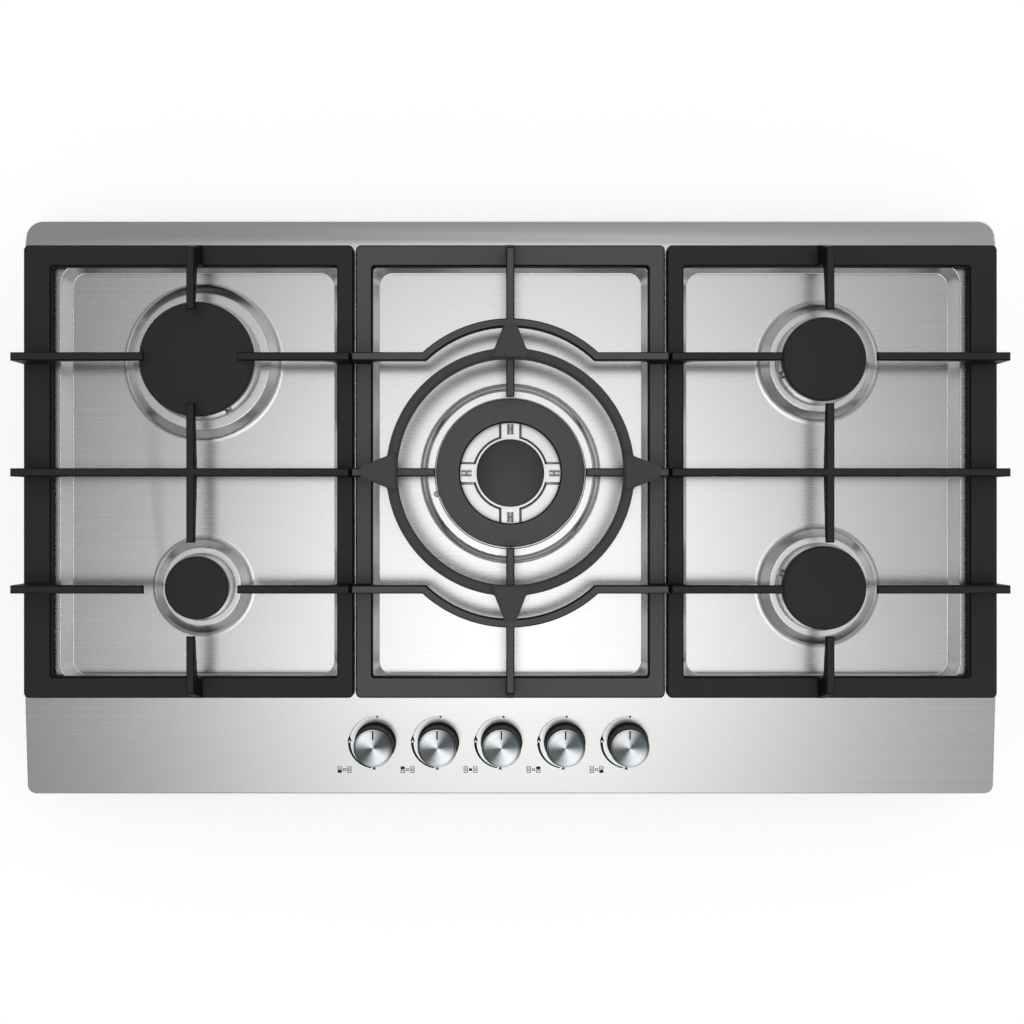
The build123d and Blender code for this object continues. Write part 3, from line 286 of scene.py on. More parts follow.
# finishes, by material slot; tones are linear, roughness runs from low to high
steelLines = 1100  # brush lines per metre
brushedSetup = {
    "stainless_steel": dict(
        name="brushedStainless", dark=(0.635, 0.635, 0.625), light=(0.715, 0.715, 0.705),
        stretch=(1 / 0.60, steelLines, steelLines * 0.2), roughness=(0.23, 0.31),
        contrast=0.9, bump=0.022, anisotropy=0.60, tangent="grainMap", smears=0.10),
    "brass": dict(
        name="turnedBrass", dark=(0.50, 0.36, 0.15), light=(0.72, 0.56, 0.28),
        stretch=(900.0, 900.0, 60.0), roughness=(0.25, 0.40)),
    "zinc_tube": dict(
        name="zincTube", dark=(0.46, 0.47, 0.48), light=(0.64, 0.65, 0.66),
        stretch=(20.0, 500.0, 500.0), roughness=(0.32, 0.48)),
    "zinc_screws": dict(
        name="zincScrews", dark=(0.50, 0.50, 0.47), light=(0.68, 0.68, 0.64),
        stretch=(700.0, 700.0, 1400.0), roughness=(0.28, 0.42), bump=0.15),
    "aluminium_pipe": dict(
        name="drawnPipe", dark=(0.60, 0.60, 0.60), light=(0.76, 0.76, 0.76),
        stretch=(300.0, 300.0, 300.0), roughness=(0.26, 0.40), contrast=0.8, bump=0.08),
    "steel_shaft": dict(
        name="turnedShaft", dark=(0.42, 0.42, 0.42), light=(0.60, 0.60, 0.60),
        stretch=(300.0, 300.0, 2600.0), roughness=(0.24, 0.36)),
}
# where sides is below one, the finish paints shade on faces that turn away from the top
castSetup = {
    "cast_iron_enamel": dict(
        name="supportEnamel", dark=(0.029, 0.029, 0.030), light=(0.041, 0.041, 0.042),
        roughness=(0.40, 0.56), scale=1100.0, pits=0.25, bump=0.22, specular=0.20, sides=0.35),
    "grey_cast_iron": dict(
        name="greyCasting", dark=(0.050, 0.050, 0.052), light=(0.088, 0.088, 0.090),
        roughness=(0.50, 0.68), scale=700.0, pits=0.5, bump=0.35),
    "black_enamel": dict(
        name="capEnamel", dark=(0.030, 0.030, 0.031), light=(0.043, 0.043, 0.044),
        roughness=(0.40, 0.52), scale=1500.0, pits=0.15, specular=0.20),
    "cast_aluminium": dict(
        name="burnerCasting", dark=(0.58, 0.58, 0.58), light=(0.74, 0.74, 0.74),
        roughness=(0.26, 0.40), scale=1400.0, pits=0.3, metallic=1.0),
    "black_plastic": dict(
        name="mouldedPlastic", dark=(0.012, 0.012, 0.013), light=(0.022, 0.022, 0.023),
        roughness=(0.38, 0.52), scale=2200.0, pits=0.1, bump=0.10, specular=0.30),
    "black_rubber": dict(
        name="footRubber", dark=(0.014, 0.014, 0.014), light=(0.024, 0.024, 0.024),
        roughness=(0.66, 0.84), scale=1600.0, pits=0.3, bump=0.25),
    "foam_rubber": dict(
        name="sealFoam", dark=(0.030, 0.030, 0.031), light=(0.060, 0.060, 0.062),
        roughness=(0.80, 0.95), scale=1200.0, pits=0.9, bump=0.60, distance=0.0006),
    "silicone_lead": dict(
        name="leadSleeve", dark=(0.46, 0.44, 0.40), light=(0.62, 0.60, 0.55),
        roughness=(0.40, 0.55), scale=1200.0, pits=0.1),
    "white_ceramic": dict(
        name="sparkCeramic", dark=(0.72, 0.71, 0.68), light=(0.86, 0.85, 0.82),
        roughness=(0.22, 0.34), scale=1500.0, pits=0.2, bump=0.08, coat=0.4),
    "dial_ink": dict(
        name="dialInk", dark=(0.008, 0.008, 0.008), light=(0.018, 0.018, 0.018),
        roughness=(0.45, 0.65), scale=2600.0, pits=0.1, bump=0.05, specular=0.15),
    "ring_cap_enamel": dict(
        name="ringCapEnamel", dark=(0.110, 0.110, 0.111), light=(0.136, 0.136, 0.137),
        roughness=(0.44, 0.58), scale=1500.0, pits=0.15, specular=0.30, sides=0.12),
    "middle_cap_enamel": dict(
        name="middleCapEnamel", dark=(0.024, 0.024, 0.025), light=(0.036, 0.036, 0.037),
        roughness=(0.30, 0.40), scale=1500.0, pits=0.1, bump=0.08),
    "centre_enamel": dict(
        name="centreSupportEnamel", dark=(0.104, 0.104, 0.105), light=(0.130, 0.130, 0.131),
        roughness=(0.42, 0.58), scale=1100.0, pits=0.25, bump=0.22, specular=0.30, sides=0.12),
}
for slotName, values in brushedSetup.items():
    finishes[slotName] = brushedFinish(**values)
for slotName, values in castSetup.items():
    finishes[slotName] = castFinish(**values)

zincSetup = {"dark": (0.44, 0.46, 0.47), "light": (0.58, 0.60, 0.61), "roughness": (0.34, 0.52),
             "spangles": 110.0, "spangleShare": 0.4, "smearSize": 6.0, "smears": 0.5, "bump": 0.08}


def galvanisedFinish():
    # sheet with zinc spangles: cells that differ in tone and gloss
    material, tree, shader = startFinish("galvanisedSheet", 1.0)
    cells = addNode(tree, "ShaderNodeTexVoronoi")
    cells.inputs["Scale"].default_value = zincSetup["spangles"]
    link(tree, objectPlace(tree), cells.inputs["Vector"])
    tone = addNode(tree, "ShaderNodeSeparateColor")
    link(tree, cells.outputs["Color"], tone.inputs["Color"])
    marks = useEffect(tree, "handling", Size=zincSetup["smearSize"], Amount=zincSetup["smears"])
    link(tree, mixColour(tree, tone.outputs[0], zincSetup["dark"], zincSetup["light"]),
         shader.inputs["Base Color"])
    gloss = mixed(tree, tone.outputs[1], marks.outputs["Value"], zincSetup["spangleShare"])
    glossFrom(tree, shader, gloss, zincSetup["roughness"], 0.2, 0.8)
    bumpFrom(tree, shader, tone.outputs[0], zincSetup["bump"])
    return material


spunSetup = {"dark": (0.080, 0.093, 0.100), "light": (0.93, 0.95, 0.97), "roughness": (0.24, 0.36),
             "anisotropy": 0.86, "ringsPerMm": 30.0, "flecksPerMm": 9.0, "highlightTurn": 4.12,
             "rings": 0.24, "fanHighlight": 0.42, "flecks": 0.60, "bump": 0.10, "depth": 0.0001}


def spunFinish():
    # turned metal: rings and flecks, and two bright fans that are a painted highlight, read from the
    # piece's own map of turn and radius
    setup = spunSetup
    material, tree, shader = startFinish("spunMetal", 1.0, Anisotropic=setup["anisotropy"])
    turnMap = addNode(tree, "ShaderNodeUVMap", uv_map="spinMap")
    parts = addNode(tree, "ShaderNodeSeparateXYZ")
    link(tree, turnMap.outputs["UV"], parts.inputs[0])
    turn, radius = parts.outputs["X"], parts.outputs["Y"]
    rings = addNode(tree, "ShaderNodeTexNoise", noise_dimensions="1D")
    feed(tree, times(tree, radius, setup["ringsPerMm"]), rings.inputs["W"])
    feed(tree, 1.0, rings.inputs["Scale"])
    feed(tree, 2.0, rings.inputs["Detail"])
    angle = times(tree, turn, 2 * math.pi)
    # painted highlight: two bright fans at a fixed turn, drawn into the tone
    fanHighlight = mathNode(tree, "COSINE", minus(tree, times(tree, angle, 2.0), setup["highlightTurn"]))
    swirl = addNode(tree, "ShaderNodeCombineXYZ")
    link(tree, mathNode(tree, "COSINE", angle), swirl.inputs["X"])
    link(tree, mathNode(tree, "SINE", angle), swirl.inputs["Y"])
    link(tree, times(tree, radius, setup["flecksPerMm"]), swirl.inputs["Z"])
    flecks = noiseAt(tree, swirl.outputs[0], 1.0, 2.0, 0.5)
    both = plus(tree, times(tree, rings.outputs["Fac"], setup["rings"]),
                plus(tree, times(tree, fanHighlight, setup["fanHighlight"]), times(tree, flecks, setup["flecks"])))
    tone = mapRange(tree, both, 0.10, 0.90, 0.0, 1.0)
    link(tree, mixColour(tree, tone, setup["dark"], setup["light"]), shader.inputs["Base Color"])
    glossFrom(tree, shader, rings.outputs["Fac"], setup["roughness"])
    bumpFrom(tree, shader, rings.outputs["Fac"], setup["bump"], setup["depth"])
    tangentFrom(tree, shader, "spinMap")
    return material


finishes["galvanised_steel"] = galvanisedFinish()
finishes["spun_aluminium"] = spunFinish()
print("finishes made:", len(finishes))

slotOf = {row["node"]: row["material_slot"] for row in frame["record"]["subparts"]}
for name, node in nodes.items():
    node.data.materials.clear()
    node.data.materials.append(finishes[slotOf[name]])


# mesh tools
meshSetup = {"weld": 0.000002, "cadWeld": 0.00001, "sliver": 0.000005, "flatDegrees": 0.4,
             "flatArea": 0.0004, "flatCosine": 0.999995, "edgeShare": 0.49, "bevelSegments": 2,
             "flatWeight": 80}


def useSmooth(mesh):
    mesh.polygons.foreach_set("use_smooth", [True] * len(mesh.polygons))


def newPiece(name, mesh, finish, smoothAngle=30):
    piece = bpy.data.objects.new(name, mesh)
    bpy.context.scene.collection.objects.link(piece)
    mesh.materials.clear()
    mesh.materials.append(finishes[finish])
    useSmooth(mesh)
    mesh.set_sharp_from_angle(angle=math.radians(smoothAngle))
    mesh.update()
    return piece


def bake(piece):
    # turns the piece with its modifiers into a plain mesh
    view = bpy.context.evaluated_depsgraph_get()
    mesh = bpy.data.meshes.new_from_object(piece.evaluated_get(view))
    old = piece.data
    piece.modifiers.clear()
    piece.data = mesh
    mesh.name = piece.name
    bpy.data.meshes.remove(old)


def meshOf(name, points, faces):
    mesh = bpy.data.meshes.new(name)
    mesh.from_pydata(points, [], faces)
    work = bmesh.new()
    work.from_mesh(mesh)
    bmesh.ops.remove_doubles(work, verts=work.verts, dist=meshSetup["weld"])
    bmesh.ops.recalc_face_normals(work, faces=work.faces)
    work.to_mesh(mesh)
    work.free()
    return mesh


def prismFaces(count):
    # two caps and the sides between a lower and an upper loop of count points each
    caps = [tuple(range(count - 1, -1, -1)), tuple(range(count, 2 * count))]
    return caps + [(k, (k + 1) % count, count + (k + 1) % count, count + k) for k in range(count)]


def gathered(parts):
    # joins (points, faces) parts into one list of points and one of faces
    points, faces = [], []
    for partPoints, partFaces in parts:
        start = len(points)
        points += partPoints
        faces += [tuple(start + k for k in face) for face in partFaces]
    return points, faces


def circlePoints(radius, steps, centre=(0, 0)):
    x, y = centre
    turns = [2 * math.pi * k / steps for k in range(steps)]
    return [(x + radius * math.cos(turn), y + radius * math.sin(turn)) for turn in turns]


def softProfile(points, steps=5):
    # points are (radius, height, rounding) in millimetres; corners with a rounding become arcs
    result, share = [], meshSetup["edgeShare"]
    for i, (r, z, rounding) in enumerate(points):
        if rounding <= 0 or i in (0, len(points) - 1):
            result.append((r, z))
            continue
        here = Vector((r, z))
        before = Vector(points[i - 1][:2]) - here
        after = Vector(points[i + 1][:2]) - here
        reach = min(rounding, before.length * share, after.length * share)
        start = here + before.normalized() * reach
        end = here + after.normalized() * reach
        for k in range(steps + 1):
            t = k / steps
            spot = start * (1 - t) ** 2 + here * 2 * t * (1 - t) + end * t ** 2
            result.append((spot.x, spot.y))
    return result


def latheMesh(name, profile, centre, segments=96, closed=False):
    # turns a (radius, height) outline in millimetres about an upright axis at centre
    points, faces = [], []
    count = len(profile)
    for k in range(segments):
        turn = 2 * math.pi * k / segments
        for r, z in profile:
            points.append(((centre[0] + r * math.cos(turn)) * mm, (centre[1] + r * math.sin(turn)) * mm,
                           (centre[2] + z) * mm))
        here, ahead = k * count, (k + 1) % segments * count
        for i in range(count if closed else count - 1):
            j = (i + 1) % count
            faces.append((here + i, here + j, ahead + j, ahead + i))
    return meshOf(name, points, faces)


def flatEdges(work):
    # edges inside large plane regions, so that joining faces there leaves the rounded forms alone
    areas = {}
    for face in work.faces:
        key = tuple(round(value, 3) for value in face.normal)
        areas[key] = areas.get(key, 0) + face.calc_area()
    ways = [Vector(key).normalized() for key, area in areas.items() if area > meshSetup["flatArea"]]
    plane = {face.index for face in work.faces
             if any(face.normal.dot(way) > meshSetup["flatCosine"] for way in ways)}
    return [edge for edge in work.edges
            if len(edge.link_faces) == 2 and all(face.index in plane for face in edge.link_faces)]


def cadCopy(node, name, finish, bevel=0.0, smoothAngle=32, bevelAngle=40, flatsOnly=False):
    # a merged copy of a CAD node, with its flats joined and its sharp edges broken
    mesh = nodes[node].data.copy()
    work = bmesh.new()
    work.from_mesh(mesh)
    bmesh.ops.remove_doubles(work, verts=work.verts, dist=meshSetup["cadWeld"])
    bmesh.ops.dissolve_degenerate(work, edges=work.edges, dist=meshSetup["sliver"])
    work.faces.index_update()
    bmesh.ops.dissolve_limit(work, angle_limit=math.radians(meshSetup["flatDegrees"]), verts=work.verts,
                             edges=flatEdges(work) if flatsOnly else work.edges,
                             use_dissolve_boundaries=False, delimit=set())
    work.to_mesh(mesh)
    work.free()
    piece = newPiece(name, mesh, finish, smoothAngle)
    if bevel > 0:
        edge = piece.modifiers.new("edge", "BEVEL")
        edge.width = bevel * mm
        edge.segments = meshSetup["bevelSegments"]
        edge.limit_method = "ANGLE"
        edge.angle_limit = math.radians(bevelAngle)
        edge.use_clamp_overlap = True
        edge.harden_normals = False
    flat = piece.modifiers.new("flat", "WEIGHTED_NORMAL")
    flat.mode = "FACE_AREA"
    flat.weight = meshSetup["flatWeight"]
    flat.keep_sharp = True
    bake(piece)
    return piece


def markSteep(piece, level=0.93):
    # a value per face for the finish: 1 where it turns away from the top, 0 where it lies flat; enamel
    # finishes paint shade with it, brushed ones fade their grain
    layer = piece.data.attributes.new("steep", "FLOAT", "FACE")
    marks = [0.0 if face.normal.z > level else 1.0 for face in piece.data.polygons]
    layer.data.foreach_set("value", marks)


def settle(piece, body, slotName, *replaced):
    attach(piece, body)
    if replaced:
        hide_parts(*replaced)


# the pressed top
topSetup = {"smoothAngle": 38, "flatLevel": 0.99, "grainLean": 0.05}


def addGrainMap(piece):
    # the grain runs along X over flats, walls and seats alike; the lean keeps it valid on upright edges
    layer = piece.data.uv_layers.new(name="grainMap")
    points = piece.data.vertices
    for loop in piece.data.loops:
        spot = points[loop.vertex_index].co
        lean = spot.z * topSetup["grainLean"]
        layer.data[loop.index].uv = (spot.x + lean, spot.y + lean)
    piece.data.uv_layers.active = layer


pressedTop = cadCopy("top_plate", "pressedTop", "stainless_steel", smoothAngle=topSetup["smoothAngle"],
                     flatsOnly=True)
addGrainMap(pressedTop)
markSteep(pressedTop, topSetup["flatLevel"])
settle(pressedTop, "root", "stainless_steel", "top_plate")
print("pressed top:", len(pressedTop.data.polygons), "faces")

# pan supports; the centre one is a little paler
supportSetup = {"finish": {"left": "cast_iron_enamel", "centre": "centre_enamel",
                           "right": "cast_iron_enamel"},
                "edges": {"bevel": 0.8, "smoothAngle": 36, "bevelAngle": 35}, "flatLevel": 0.97}
for side, finish in supportSetup["finish"].items():
    support = cadCopy("support_" + side, "panSupport_" + side, finish, **supportSetup["edges"])
    # the steep mark lets the enamel paint shade on the supports' sides and edges
    markSteep(support, supportSetup["flatLevel"])
    settle(support, "support_" + side, "cast_iron_enamel", "support_" + side)
print("pan supports made")

ringSetup = {"voxel": 1.1, "easing": 0.5, "rounds": 5}


def castRing():
    # remeshed and eased, so that the lugs run into the band as in a casting
    ring = cadCopy("wok_ring", "wokRing", "grey_cast_iron")
    soft = ring.modifiers.new("skin", "REMESH")
    soft.mode = "VOXEL"
    soft.voxel_size = ringSetup["voxel"] * mm
    ease = ring.modifiers.new("ease", "SMOOTH")
    ease.factor = ringSetup["easing"]
    ease.iterations = ringSetup["rounds"]
    bake(ring)
    useSmooth(ring.data)
    ring.data.materials.clear()
    ring.data.materials.append(finishes["grey_cast_iron"])
    settle(ring, "wok_ring", "grey_cast_iron", "wok_ring")
    return ring


wokRing = castRing()
print("wok ring:", len(wokRing.data.polygons), "faces")

# burner caps and castings, in millimetres
burnerSetup = {
    "front_left": {"place": (-273, -70), "cap": 27.5},
    "rear_left": {"place": (-273, 129), "cap": 50.0},
    "rear_right": {"place": (273, 129), "cap": 36.5},
    "front_right": {"place": (273, -70), "cap": 36.5},
}
capSetup = {"seat": 74.9, "thick": 6.0, "shoulder": 2.6, "foot": 0.6, "crownBack": 6.5, "crown": 2.0,
            "crownWidth": 1.6, "crownRound": 0.3, "segments": 128, "edgeSteps": 6, "smoothAngle": 40}
castingEdges = {"bevel": 0.15, "smoothAngle": 34, "bevelAngle": 50}


def crownLip(outer):
    # the ring below a cap that centres it on its crown, from its outer edge inwards
    inner, low, rounding = outer - capSetup["crownWidth"], -capSetup["crown"], capSetup["crownRound"]
    return [(outer, 0, 0), (outer, low, rounding), (inner, low, rounding), (inner, 0, 0)]


def capPiece(name, outline, place, finish, segments=capSetup["segments"], closed=False):
    mesh = latheMesh(name, outline, (*place, capSetup["seat"]), segments, closed)
    return newPiece(name, mesh, finish, capSetup["smoothAngle"])


def makeCap(where, place, radius):
    # flat black cap with a rolled edge
    outline = [(0, capSetup["thick"], 0), (radius, capSetup["thick"], capSetup["shoulder"]),
               (radius, 0, capSetup["foot"]), *crownLip(radius - capSetup["crownBack"]), (0, 0, 0)]
    return capPiece("cap_" + where, softProfile(outline, capSetup["edgeSteps"]), place, "black_enamel")


for where, burner in burnerSetup.items():
    cap = makeCap(where, burner["place"], burner["cap"])
    settle(cap, "cap_" + where, "black_enamel", "burner_cap_" + where)
    node = "flame_spreader_" + where
    casting = cadCopy(node, "spreader_" + where, "cast_aluminium", **castingEdges)
    settle(casting, "spreader_" + where, "cast_aluminium", node)

wokSetup = {"place": (0, 30), "outer": 64.5, "inner": 43.7, "outerRound": 1.9, "innerRound": 2.4,
            "innerFoot": 0.5, "seam": (3, 2.9), "segments": 160, "bevel": 0.2,
            "middle": 29.4, "middleCrownBack": 7.0, "dome": 1.5, "domeShare": 0.94, "domeSteps": 12,
            "domeFall": 1.15, "domeRound": 1.4}


def makeRingCap():
    # ring with round shoulders; its outline starts and ends halfway up the outer wall
    setup, thick = wokSetup, capSetup["thick"]
    outer, inner = setup["outer"], setup["inner"]
    begin, end = setup["seam"]
    outline = [(outer, begin, 0), (outer, thick, setup["outerRound"]),
               (inner, thick, setup["innerRound"]), (inner, 0, setup["innerFoot"]),
               *crownLip(outer - capSetup["crownBack"])[::-1],
               (outer, 0, capSetup["foot"]), (outer, end, 0)]
    ringCap = capPiece("wokRingCap", softProfile(outline, capSetup["edgeSteps"]), setup["place"],
                       "ring_cap_enamel", setup["segments"], True)
    # the steep mark lets its finish paint shade on the round shoulders
    markSteep(ringCap)
    settle(ringCap, "outer_cap", "black_enamel", "wok_outer_cap")


def makeMiddleCap():
    # a low dome
    setup, thick = wokSetup, capSetup["thick"]
    radius, dome = setup["middle"], setup["dome"]
    share, steps = setup["domeShare"], setup["domeSteps"]
    outline = [(radius * k / steps * share, thick - dome * (k / steps) ** 2) for k in range(steps)]
    outline += softProfile([(radius * share, thick - dome, 0),
                            (radius, thick - dome * setup["domeFall"], setup["domeRound"]),
                            (radius, 0, setup["innerFoot"]),
                            *crownLip(radius - setup["middleCrownBack"]), (0, 0, 0)],
                           capSetup["edgeSteps"])
    middleCap = capPiece("wokMiddleCap", outline, setup["place"], "middle_cap_enamel")
    settle(middleCap, "inner_cap", "black_enamel", "wok_inner_cap")


makeRingCap()
makeMiddleCap()

slotSetup = {"middle": 38.5, "level": 69.7, "radius": 3.0, "length": 8.8, "port": 2.0, "portDepth": 5.9,
             "portFoot": 0.15, "sides": 24}


def roundTool(radius, length, foot=1.0):
    # closed upright cylinder or cone, its middle at the origin, foot is the share left below
    ends = ((-length / 2, radius * foot), (length / 2, radius))
    points = [(x, y, z) for z, size in ends for x, y in circlePoints(size, slotSetup["sides"])]
    return points, prismFaces(slotSetup["sides"])


def cutBridgeSlots(casting):
    # hollows the floor of the slot in each bridge and drills a port in it
    setup, parts = slotSetup, []
    for quarter in range(4):
        centre = Matrix.Translation((*wokSetup["place"], setup["level"]))
        bridge = centre @ Matrix.Rotation(quarter * math.pi / 2, 4, "Z")
        bridge = bridge @ Matrix.Translation((setup["middle"], 0, 0))
        trough = bridge @ Matrix.Rotation(math.pi / 2, 4, "Y")
        port = bridge @ Matrix.Translation((0, 0, -setup["portDepth"] / 2))
        for place, (points, faces) in (
                (trough, roundTool(setup["radius"], setup["length"])),
                (port, roundTool(setup["port"], setup["portDepth"], setup["portFoot"]))):
            spots = [place @ Vector(point) for point in points]
            parts.append(([tuple(value * mm for value in spot) for spot in spots], faces))
    cutter = bpy.data.objects.new("cutter", meshOf("cutter", *gathered(parts)))
    bpy.context.scene.collection.objects.link(cutter)
    cut = casting.modifiers.new("cut", "BOOLEAN")
    cut.operation = "DIFFERENCE"
    cut.solver = "EXACT"
    cut.use_self = True
    cut.object = cutter
    bake(casting)
    bpy.data.objects.remove(cutter)


wokEdges = {**castingEdges, "bevel": wokSetup["bevel"]}
wokCasting = cadCopy("flame_spreader_centre", "spreader_centre", "cast_aluminium", **wokEdges)
cutBridgeSlots(wokCasting)
settle(wokCasting, "spreader_centre", "cast_aluminium", "flame_spreader_centre")
print("burners made")

# knobs, in millimetres in the knob's own frame
knobSetup = {"names": ["front_left", "rear_left", "centre", "rear_right", "front_right"],
             "first": -119.8, "pitch": 56.0, "row": -208.5, "level": 57.28235, "drop": 6.0, "run": 85.0,
             "radius": 16.85, "top": 19.2, "low": 5.1, "edge": (0.5, 0.9, 0.3),
             "hollow": (14.8, 8.5, 0.5), "bore": (3.1, 15.6), "smoothAngle": 40,
             "teeth": 48, "ridge": 0.56, "ridgeOut": 0.05, "ridgeEnds": (0.9, 2.0), "ridgeSides": 8,
             "disc": 16.5, "discSides": 128, "discAngle": 50, "dish": (19.84, 19.76, 0.3),
             "rim": (20.0, 19.92, 0.25), "rimWidths": (1.5, 0.9), "pointer": (7.6, 15.4, 1.3),
             "pointerLevels": (19.7, 19.95)}
apronTilt = math.atan2(knobSetup["drop"], knobSetup["run"])


def knobPlace(index):
    # from the knob's own frame to the row frame in metres
    x = knobSetup["first"] + knobSetup["pitch"] * index
    spot = Matrix.Translation((x * mm, knobSetup["row"] * mm, knobSetup["level"] * mm))
    return spot @ Matrix.Rotation(apronTilt, 4, "X")


def socketNamed(tree, name):
    return next(item.identifier for item in tree.interface.items_tree
                if item.item_type == "SOCKET" and item.in_out == "INPUT" and item.name == name)


def newPattern(name, inputs):
    # a Geometry Nodes tree with a mesh input, named sizes and a material
    tree = bpy.data.node_groups.new(name, "GeometryNodeTree")
    tree.interface.new_socket(name="Geometry", in_out="INPUT", socket_type="NodeSocketGeometry")
    for label, value in inputs.items():
        kind = "NodeSocketInt" if isinstance(value, int) else "NodeSocketFloat"
        socket = tree.interface.new_socket(name=label, in_out="INPUT", socket_type=kind)
        socket.default_value = value
    tree.interface.new_socket(name="Finish", in_out="INPUT", socket_type="NodeSocketMaterial")
    tree.interface.new_socket(name="Geometry", in_out="OUTPUT", socket_type="NodeSocketGeometry")
    return tree, tree.nodes.new("NodeGroupInput"), tree.nodes.new("NodeGroupOutput")


def raised(tree, geometry, height):
    up = addNode(tree, "ShaderNodeCombineXYZ")
    link(tree, height, up.inputs["Z"])
    lift = addNode(tree, "GeometryNodeTransform")
    link(tree, geometry, lift.inputs["Geometry"])
    link(tree, up.outputs[0], lift.inputs["Translation"])
    return lift.outputs[0]


def closePattern(tree, geometry, source, sink):
    # real meshes, joined to the piece they belong to
    real = addNode(tree, "GeometryNodeRealizeInstances")
    link(tree, geometry, real.inputs[0])
    joined = addNode(tree, "GeometryNodeJoinGeometry")
    link(tree, source.outputs["Geometry"], joined.inputs[0])
    link(tree, real.outputs[0], joined.inputs[0])
    painted = addNode(tree, "GeometryNodeSetMaterial")
    link(tree, joined.outputs[0], painted.inputs["Geometry"])
    link(tree, source.outputs["Finish"], painted.inputs["Material"])
    link(tree, painted.outputs[0], sink.inputs[0])


def runPattern(piece, tree, finish, values):
    pattern = piece.modifiers.new("pattern", "NODES")
    pattern.node_group = tree
    for label, value in values.items():
        pattern[socketNamed(tree, label)] = value
    pattern[socketNamed(tree, "Finish")] = finishes[finish]
    bake(piece)
    if not piece.data.materials:
        piece.data.materials.append(finishes[finish])


def makeKnurlTree():
    # upright rounded ridges on points round a circle
    tree, source, sink = newPattern("knurl", {"Ridges": 48, "Radius": 0.0168, "Ridge": 0.0006,
                                              "Low": 0.005, "Height": 0.013})
    circle = addNode(tree, "GeometryNodeMeshCircle")
    link(tree, source.outputs["Ridges"], circle.inputs["Vertices"])
    link(tree, source.outputs["Radius"], circle.inputs["Radius"])
    ridge = addNode(tree, "GeometryNodeMeshCylinder")
    ridge.inputs["Vertices"].default_value = knobSetup["ridgeSides"]
    link(tree, source.outputs["Ridge"], ridge.inputs["Radius"])
    link(tree, source.outputs["Height"], ridge.inputs["Depth"])
    middle = plus(tree, times(tree, source.outputs["Height"], 0.5), source.outputs["Low"])
    spread = addNode(tree, "GeometryNodeInstanceOnPoints")
    link(tree, circle.outputs["Mesh"], spread.inputs["Points"])
    link(tree, raised(tree, ridge.outputs["Mesh"], middle), spread.inputs["Instance"])
    closePattern(tree, spread.outputs[0], source, sink)
    return tree


knurlTree = makeKnurlTree()


def makeSpinMap(piece):
    # turn and radius of each face corner about the knob's axis, before the knob is put in its place
    layer = piece.data.uv_layers.new(name="spinMap")
    for face in piece.data.polygons:
        middle = math.atan2(face.center.y, face.center.x)
        for index in face.loop_indices:
            spot = piece.data.vertices[piece.data.loops[index].vertex_index].co
            turn = math.atan2(spot.y, spot.x) if math.hypot(spot.x, spot.y) > 1e-6 else middle
            turn = middle + (turn - middle + math.pi) % (2 * math.pi) - math.pi
            layer.data[index].uv = (turn / (2 * math.pi), math.hypot(spot.x, spot.y) / mm)
    piece.data.uv_layers.active = layer


def gripOutline():
    radius, low, top = knobSetup["radius"], knobSetup["low"], knobSetup["top"]
    wall, ceiling, corner = knobSetup["hollow"]
    bore, boreTop = knobSetup["bore"]
    side, fall, soft = knobSetup["edge"]
    return softProfile([(0, top, 0), (radius - side, top, soft), (radius, top - fall, soft),
                        (radius, low + side, soft), (radius - side, low, 0), (wall, low, 0),
                        (wall, ceiling, corner), (bore, ceiling, 0), (bore, boreTop, 0),
                        (0, boreTop, 0)], 3)


def discOutline():
    # slightly dished face inside a raised rim
    edge, top = knobSetup["disc"], knobSetup["top"]
    middle, foot, inside = knobSetup["dish"]
    crest, outside, soft = knobSetup["rim"]
    wide, narrow = knobSetup["rimWidths"]
    return softProfile([(0, middle, 0), (edge - wide, foot, inside), (edge - narrow, crest, soft),
                        (edge, outside, soft), (edge, top, 0), (0, top, 0)], 4)


def pointerMesh(name, steps=8):
    # upright bar with round ends
    near, far, width = knobSetup["pointer"]
    half, points = width / 2, []
    for z in knobSetup["pointerLevels"]:
        for start, middle in ((0, far - half), (math.pi, near + half)):
            for k in range(steps + 1):
                turn = start + math.pi * k / steps
                x, y = half * math.cos(turn), middle + half * math.sin(turn)
                points.append((x * mm, y * mm, z * mm))
    return meshOf(name, points, prismFaces(len(points) // 2))


def makeKnob(index, where):
    setup, middle = knobSetup, (0, 0, 0)
    start, less = setup["ridgeEnds"]
    grip = newPiece("knobGrip_" + where, latheMesh("knobGrip_" + where, gripOutline(), middle),
                    "black_plastic")
    runPattern(grip, knurlTree, "black_plastic", {
        "Ridges": setup["teeth"], "Radius": (setup["radius"] + setup["ridgeOut"]) * mm,
        "Ridge": setup["ridge"] * mm, "Low": (setup["low"] + start) * mm,
        "Height": (setup["top"] - setup["low"] - less) * mm})
    grip.data.transform(knobPlace(index))
    useSmooth(grip.data)
    grip.data.set_sharp_from_angle(angle=math.radians(setup["smoothAngle"]))
    settle(grip, "knob_" + where, "black_plastic", "knob_" + where)
    discMesh = latheMesh("knobDisc_" + where, discOutline(), middle, setup["discSides"])
    disc = newPiece("knobDisc_" + where, discMesh, "spun_aluminium", setup["discAngle"])
    makeSpinMap(disc)
    disc.data.transform(knobPlace(index))
    settle(disc, "knob_" + where, "spun_aluminium", "knob_disc_" + where)
    line = newPiece("pointerLine_" + where, pointerMesh("pointerLine_" + where), "dial_ink",
                    setup["smoothAngle"])
    line.data.transform(knobPlace(index))
    settle(line, "knob_" + where, "black_plastic")


for index, where in enumerate(knobSetup["names"]):
    makeKnob(index, where)
print("knobs made")

